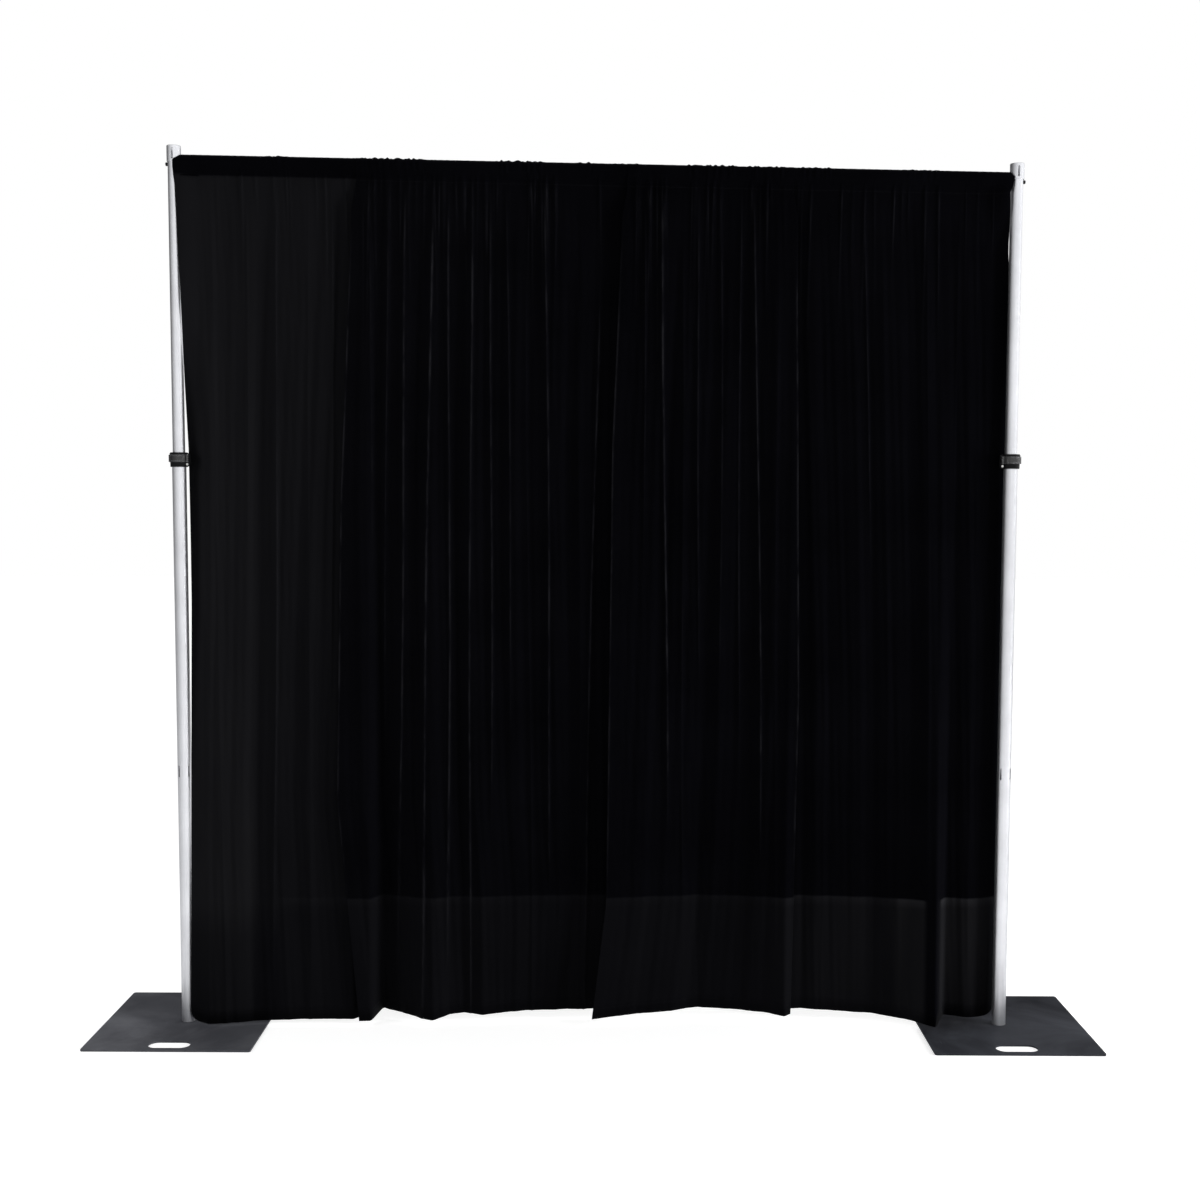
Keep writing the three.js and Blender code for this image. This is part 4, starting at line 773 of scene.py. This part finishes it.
def drapeGrid(name):
    # Rows run from the seam behind the bar, over it and down to the hem, closer under the seam. On
    # the pocket the cloth is a half ellipse over the bar and two curves to the seam. On the skirt
    # y = lane * (1 - v^2) + hem * v^2 + waves - creases - gathers, with v the share of its height,
    # and the waves a sum of three sines across the panel.
    panel = panels[name]
    back, front, seam = pocketPath
    across = np.linspace(0, 1, panel["columns"])[None, :]
    pocketRow = np.linspace(0, seam, pocketRows)[:, None]
    skirtShare = (np.linspace(0, 1, skirtRows + 1)[1:, None]) ** 1.12
    row = np.vstack([pocketRow, np.full((skirtRows, 1), float(seam))])
    share = np.vstack([np.zeros((pocketRows, 1)), skirtShare])
    left, right = edgeX(panel, "start", share, row), edgeX(panel, "end", share, row)
    x = left + (right - left) * across
    ends = ((panel["start"], panel["laneStart"], x - left), (panel["end"], panel["laneEnd"], right - x))

    hemY = hemWander(name, x)
    drop = share * (seamHeight(x) - hang["hemLow"] - hang["hemRise"] / 2)
    lane, fade = 0, 1
    for border, sign, away in ends:
        lane = lane + sign * hang["lane"] * (1 - smoothstep(away, 0, hang["laneFade"]))
        kept = 0 if border in selvedge else hang["joinFade"]
        fade = fade * lerp(kept, 1, smoothstep(away, 0, hang["edgeBlend"]))
    deep = np.interp(share, [0, 0.04, 0.2, 0.6, 1], [0, 0.25, 0.9, 1, 0.5])
    turn = 2 * math.pi * (panel["waves"] * across + panel["drift"] * share + panel["phase"])
    uneven = 0.62 * np.sin(turn) + 0.38 * np.sin(turn * 1.73 + 2.1 + 1.2 * share)
    uneven += 0.16 * np.sin(turn * 4.1 + 0.6 - 3.0 * share)
    waves = panel["depth"] * mm * deep * fade * uneven
    crease, paintedHighlight = creaseRelief(name, x, share)
    tuck, tuckHighlight = gatherRelief(name, x, drop)
    crease, tuck = crease * fade, tuck * lerp(0.25, 1, fade)
    # painted highlights of the creases and of the tucks (these start just under the seam), faded at the
    # borders
    paintedHighlight = np.maximum(paintedHighlight, tuckHighlight * smoothstep(drop, 0.004, 0.03)) * fade
    # wrinkles a quarter of a millimetre deep
    small = 0.25 * mm * fade * (np.sin(x * 171 + share * 23) * np.sin(x * 67 - share * 61 + 1.0)
                                + 0.7 * np.sin(x * 263 - share * 37 + 2.0))
    seamY = 0.25 * lane - 1.5 * mm      # the seam lies a little before the axis
    settled = smoothstep(share, 0, hang["laneSettles"])
    skirtY = lerp(lerp(seamY, lane, settled), hemY * hang["hemSwing"], share ** 2)
    skirtY = skirtY + waves - crease - tuck + small * smoothstep(share, 0, 0.03)
    hemZ = hang["hemLow"] + hang["hemRise"] * (1 + hemY) / 2
    wide, tall = barRadius(x) + hang["pocketSlack"], hang["outerBar"] + hang["pocketRest"]
    for border, sign, away in ends:
        if sign < 0:    # the panel in front: its selvedge glints and its pocket rides further out
            # painted glint: a pale line along the front panel's selvedge
            glint = np.exp(-((away - 3.0 * mm) / (3.4 * mm)) ** 2)
            glint = glint * smoothstep(share, 0.04, 0.16) * (1 - smoothstep(share, 0.66, 0.90))
            paintedHighlight = np.maximum(paintedHighlight, glint)
            further = hang["frontLap"] * (1 - smoothstep(away, 0.003, 0.05))
            wide, tall = wide + further, tall + further
        if border in selvedge:      # its free corner is rounded: r - sqrt(r^2 - (r - away)^2)
            own = tableLine([s[::2] for s in selvedge[border]], share) * hang["selvedgeReach"]
            skirtY = lerp(own, skirtY, smoothstep(away, 0, hang["edgeBlend"]))
            inCorner = np.clip(hang["cornerRound"] - away, 0, None)
            rounding = np.sqrt(hang["cornerRound"] ** 2 - inCorner ** 2 + 1e-12)
            hemZ = hemZ + hang["cornerRound"] - rounding

    over = np.clip((row - back) / (front - back), 0, 1)
    behind = np.clip((back - row) / back, 0, 1)
    before = np.clip((row - front) / (seam - front), 0, 1)
    angle = over * math.pi
    ofBar = [row < back, row > front]       # where the pocket hangs behind the bar, and before it
    swing = np.select(ofBar, [wide * np.cos(behind * math.pi / 2) ** 2, -wide * (1 - before ** 2.7)],
                      wide * np.cos(angle))
    rise = np.select(ofBar, [-behind * hang["pocketDrop"], -before * hang["pocketDrop"]],
                     tall * np.sin(angle))
    pucker = bunchRelief(x, over) * np.sin(np.clip((row - 0.6) / 7, 0, 1) * math.pi)
    pucker = pucker * smoothstep(np.minimum(ends[0][2], ends[1][2]), 0, 0.05)
    swing = swing + pucker * np.select(ofBar, [1, -1], np.cos(angle))
    rise = rise + pucker * np.select(ofBar, [0, 0], np.sin(angle))
    frontSeam = seamY - tuck
    gap = hang["clothThickness"] + hang["seamGap"]
    pocketY = lerp(swing, frontSeam + gap, smoothstep(behind, 0.45, 1))
    pocketY = lerp(pocketY, swing * (1 - before) + frontSeam * before, smoothstep(before, 0.1, 1))
    for border, sign, away in ends:
        if border in selvedge:
            near = 1 - smoothstep(away, 0, hang["flareReach"])
            flared = np.interp(row, range(seam + 1), pocketFlare[border]) * hang["headStandoff"]
            flared = flared + np.where(row < 1, gap * (1 - row), 0)
            pocketY = lerp(pocketY, flared, near * np.interp(row, range(seam + 1), flareRows))
            flared = pocketFlare[border][seam] * hang["headStandoff"]
            skirtY = lerp(skirtY, flared, near * (1 - settled))
    pocketZ = seamHeight(x) + hang["pocketDrop"] + rise

    y = np.where(share > 0, skirtY, pocketY)
    z = np.where(share > 0, lerp(seamHeight(x), hemZ, share), pocketZ)
    return x, y, z, share, paintedHighlight * (share > 0)


def makePanel(name, material):
    panel = panels[name]
    x, y, z, share, paintedHighlight = drapeGrid(name)
    rows, columns = x.shape
    points = np.stack([x, y, z], -1)
    index = np.arange(rows * columns).reshape(rows, columns)
    quads = np.stack([index[:-1, :-1], index[1:, :-1], index[1:, 1:], index[:-1, 1:]], -1)
    quads = quads.reshape(-1, 4)
    mesh = bpy.data.meshes.new(name + "_cloth")
    mesh.from_pydata(points.reshape(-1, 3), [], quads.tolist())
    mesh.polygons.foreach_set("use_smooth", np.ones(len(quads), bool))
    # flat coordinates of the cloth: along the weft from its left edge, down the warp from the seam
    alongStep = np.linalg.norm(np.diff(points, axis=1), axis=-1)
    along = np.pad(np.cumsum(alongStep, axis=1), ((0, 0), (1, 0)))
    downStep = np.linalg.norm(np.diff(points, axis=0), axis=-1)
    down = np.pad(np.cumsum(downStep, axis=0), ((1, 0), (0, 0)))
    down = down - down[pocketRows - 1]
    flat = np.stack([along, down], -1).reshape(-1, 2)
    layer = mesh.uv_layers.new(name="flatCloth")
    corner = np.zeros(len(mesh.loops), np.int32)
    mesh.loops.foreach_get("vertex_index", corner)
    layer.data.foreach_set("uv", flat[corner].astype(np.float32).ravel())
    # how much painted through-light: none at the pocket, less at the double hem
    fromHem = down[-1:] - down
    deep, less = throughLightShares["turnUp"]
    single = (np.arange(rows)[:, None] >= pocketRows - 1) * (1 - less * (fromHem < deep))
    low, high, lean = throughLightShares["line"]
    inner = smoothstep(x, low + lean * share, high + lean * share) * lerp(*throughLightShares["inside"], share)
    low, high, least = throughLightShares["nearFloor"]
    own = panel["lift"] * (1 - inner) * lerp(*throughLightShares["downwards"], share)
    own = own * lerp(least, 1, smoothstep(z, low, high))
    low, high, least = throughLightShares["middle"]
    own = own * lerp(1, least, smoothstep(x, low, high))
    for title, values in (("fromHem", fromHem), ("paintedHighlight", paintedHighlight), ("paintedThroughLight", own * single),
                          ("paintedGlimpse", tableLine(paintedGlimpses, x) * single)):
        layer = mesh.attributes.new(title, "FLOAT", "POINT")
        layer.data.foreach_set("value", values.astype(np.float32).ravel())
    mesh.materials.append(material)
    piece = addObject(name + "_cloth", mesh)
    wall = piece.modifiers.new("clothThickness", "SOLIDIFY")
    wall.thickness = hang["clothThickness"]
    wall.offset = 0
    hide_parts(name)
    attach(piece, "crossbar_outer")
    near = points[:-1, :-1]
    area = np.linalg.norm(np.cross(points[1:, :-1] - near, points[:-1, 1:] - near), axis=-1).sum()
    whole = hang["flatWidth"][name] * hang["flatLength"]
    print(name, "cloth area", round(float(area), 3), "of", round(whole, 3))
    return piece


cloth = {
    # the pale grey of the fold lines is a painted highlight
    "black": "#040406", "cloud": "#07070a", "paintedThroughLight": "#1a1a1c", "paintedHighlight": "#1e1e21",
    "thread": "#09090c", "stitch": "#121214", "paintedStrip": "#303033",
    # painted light seen through the cloth low down: where its band ends, and a brighter painted strip
    # under that
    "bandTop": 0.481, "bandEdge": 0.004,    # up to here it glimpses light, and how sharp that ends
    "paintedStripHigh": 0.036, "paintedStripMost": 0.45,      # the brighter strip under that
    "rough": 0.62, "gloss": 0.004, "sheen": 0.05, "sheenRough": 0.25,
    "seamStitch": 2.2 * mm, "hemStitch": 38 * mm, "stitchLong": 3.0 * mm, "stitchPitch": 4.2 * mm,
    "threadHalf": 0.7 * mm, "pulledIn": 3 * mm,     # how far round it the thread draws the cloth in
}


def wovenPolyester(name):
    # Spun polyester, plain woven and piece dyed black: matt, a slub of uneven yarns along and
    # across, drawn 2 mm apart because the real 0.5 mm is too fine to show, and two rows of stitches.
    material, tree, place = startMaterial(name)
    height = addNode(tree, "SeparateXYZ", [place], "Z")
    flat = addNode(tree, "UVMap", uv_map="flatCloth")
    flatParts = addNode(tree, "SeparateXYZ", [flat]).node.outputs
    fromHem, paintedHighlight, paintedThroughLight, paintedGlimpse = (addNode(tree, "Attribute", out="Fac", attribute_name=title)
                                        for title in ("fromHem", "paintedHighlight", "paintedThroughLight", "paintedGlimpse"))
    cloudy = patches(tree, place, {"Scale": 2.4, "Detail": 4, "Roughness": 0.6}, 0.35, 0.65)
    yarns = [drawnOut(tree, flat, cells, {"Detail": 2, "Roughness": 0.6})
             for cells in ((500, 14, 1), (14, 500, 1))]
    yarn = addNode(tree, "Math", yarns, operation="ADD")
    thread = addNode(tree, "MapRange", [yarn, 0.8, 1.3, 0, 0.35])
    # painted light: where light shows through the thin cloth its colour is greyer, in long uneven
    # patches
    patchy = drawnOut(tree, place, (9, 9, 1.6), {"Detail": 3})
    patchy = addNode(tree, "MapRange", [patchy, 0.3, 0.75, 0.75])
    top, edge = cloth["bandTop"], cloth["bandEdge"]
    band = addNode(tree, "MapRange", [height, top + edge, top - edge])
    band = addNode(tree, "Math", [paintedGlimpse, band], operation="MULTIPLY")
    paintedStrip = addNode(tree, "MapRange", [height, top - cloth["paintedStripHigh"], top, 0, cloth["paintedStripMost"]])
    paintedStrip = addNode(tree, "Math", [paintedStrip, band], operation="MULTIPLY")
    paintedStrip = addNode(tree, "Math", [paintedStrip, paintedGlimpse], operation="MULTIPLY")
    paintedThroughLight = addNode(tree, "Math", [paintedThroughLight, band], operation="MAXIMUM")
    paintedThroughLight = addNode(tree, "Math", [paintedThroughLight, patchy], operation="MULTIPLY")
    # painted highlight along the fold lines, brighter here and there than elsewhere
    highlightBreaks = drawnOut(tree, place, (40, 40, 9), {"Detail": 3, "Roughness": 0.6})
    highlightBreaks = addNode(tree, "MapRange", [highlightBreaks, 0.40, 0.66, 0.12])
    paintedHighlight = addNode(tree, "Math", [paintedHighlight, highlightBreaks], operation="MULTIPLY")
    # two rows of stitches: under the pocket's seam, and at the top of the hem
    dash = addNode(tree, "Math", [flatParts["X"], cloth["stitchPitch"]], operation="MODULO")
    dash = addNode(tree, "Math", [dash, cloth["stitchLong"]], operation="LESS_THAN")
    sewn = []
    for distance, line in ((flatParts["Y"], "seamStitch"), (fromHem, "hemStitch")):
        away = addNode(tree, "Math", [distance, cloth[line]], operation="SUBTRACT")
        sewn.append(addNode(tree, "Math", [away], operation="ABSOLUTE"))
    nearest = addNode(tree, "Math", sewn, operation="MINIMUM")
    stitch = addNode(tree, "Math", [nearest, cloth["threadHalf"]], operation="LESS_THAN")
    stitch = addNode(tree, "Math", [stitch, dash], operation="MULTIPLY")
    valley = addNode(tree, "MapRange", [nearest, 0, cloth["pulledIn"]])
    base = layered(tree, cloth, "black", {"cloud": cloudy, "thread": thread, "paintedThroughLight": paintedThroughLight, "paintedStrip": paintedStrip,
                                          "paintedHighlight": paintedHighlight, "stitch": stitch})
    skin = embossed(tree, (yarn, 0.25, 0.5), (valley, 0.6, 0.6), (stitch, 0.3, 0.8))
    sockets = {"Base Color": base, "Normal": skin, "Metallic": 0.0, "Roughness": cloth["rough"],
               "Specular IOR Level": cloth["gloss"], "Sheen Weight": cloth["sheen"],
               "Sheen Roughness": cloth["sheenRough"]}
    addNode(tree, "OutputMaterial", {"Surface": addNode(tree, "BsdfPrincipled", sockets)})
    return material


blackCloth = wovenPolyester("wovenBlackPolyester")
drapePieces = []
for name in panels:
    piece = makePanel(name, blackCloth)
    drapePieces.append(piece)
# each panel gets a mesh of its own
for piece in drapePieces:
    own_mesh(piece)
print("drape hung:", len(drapePieces), "panels")
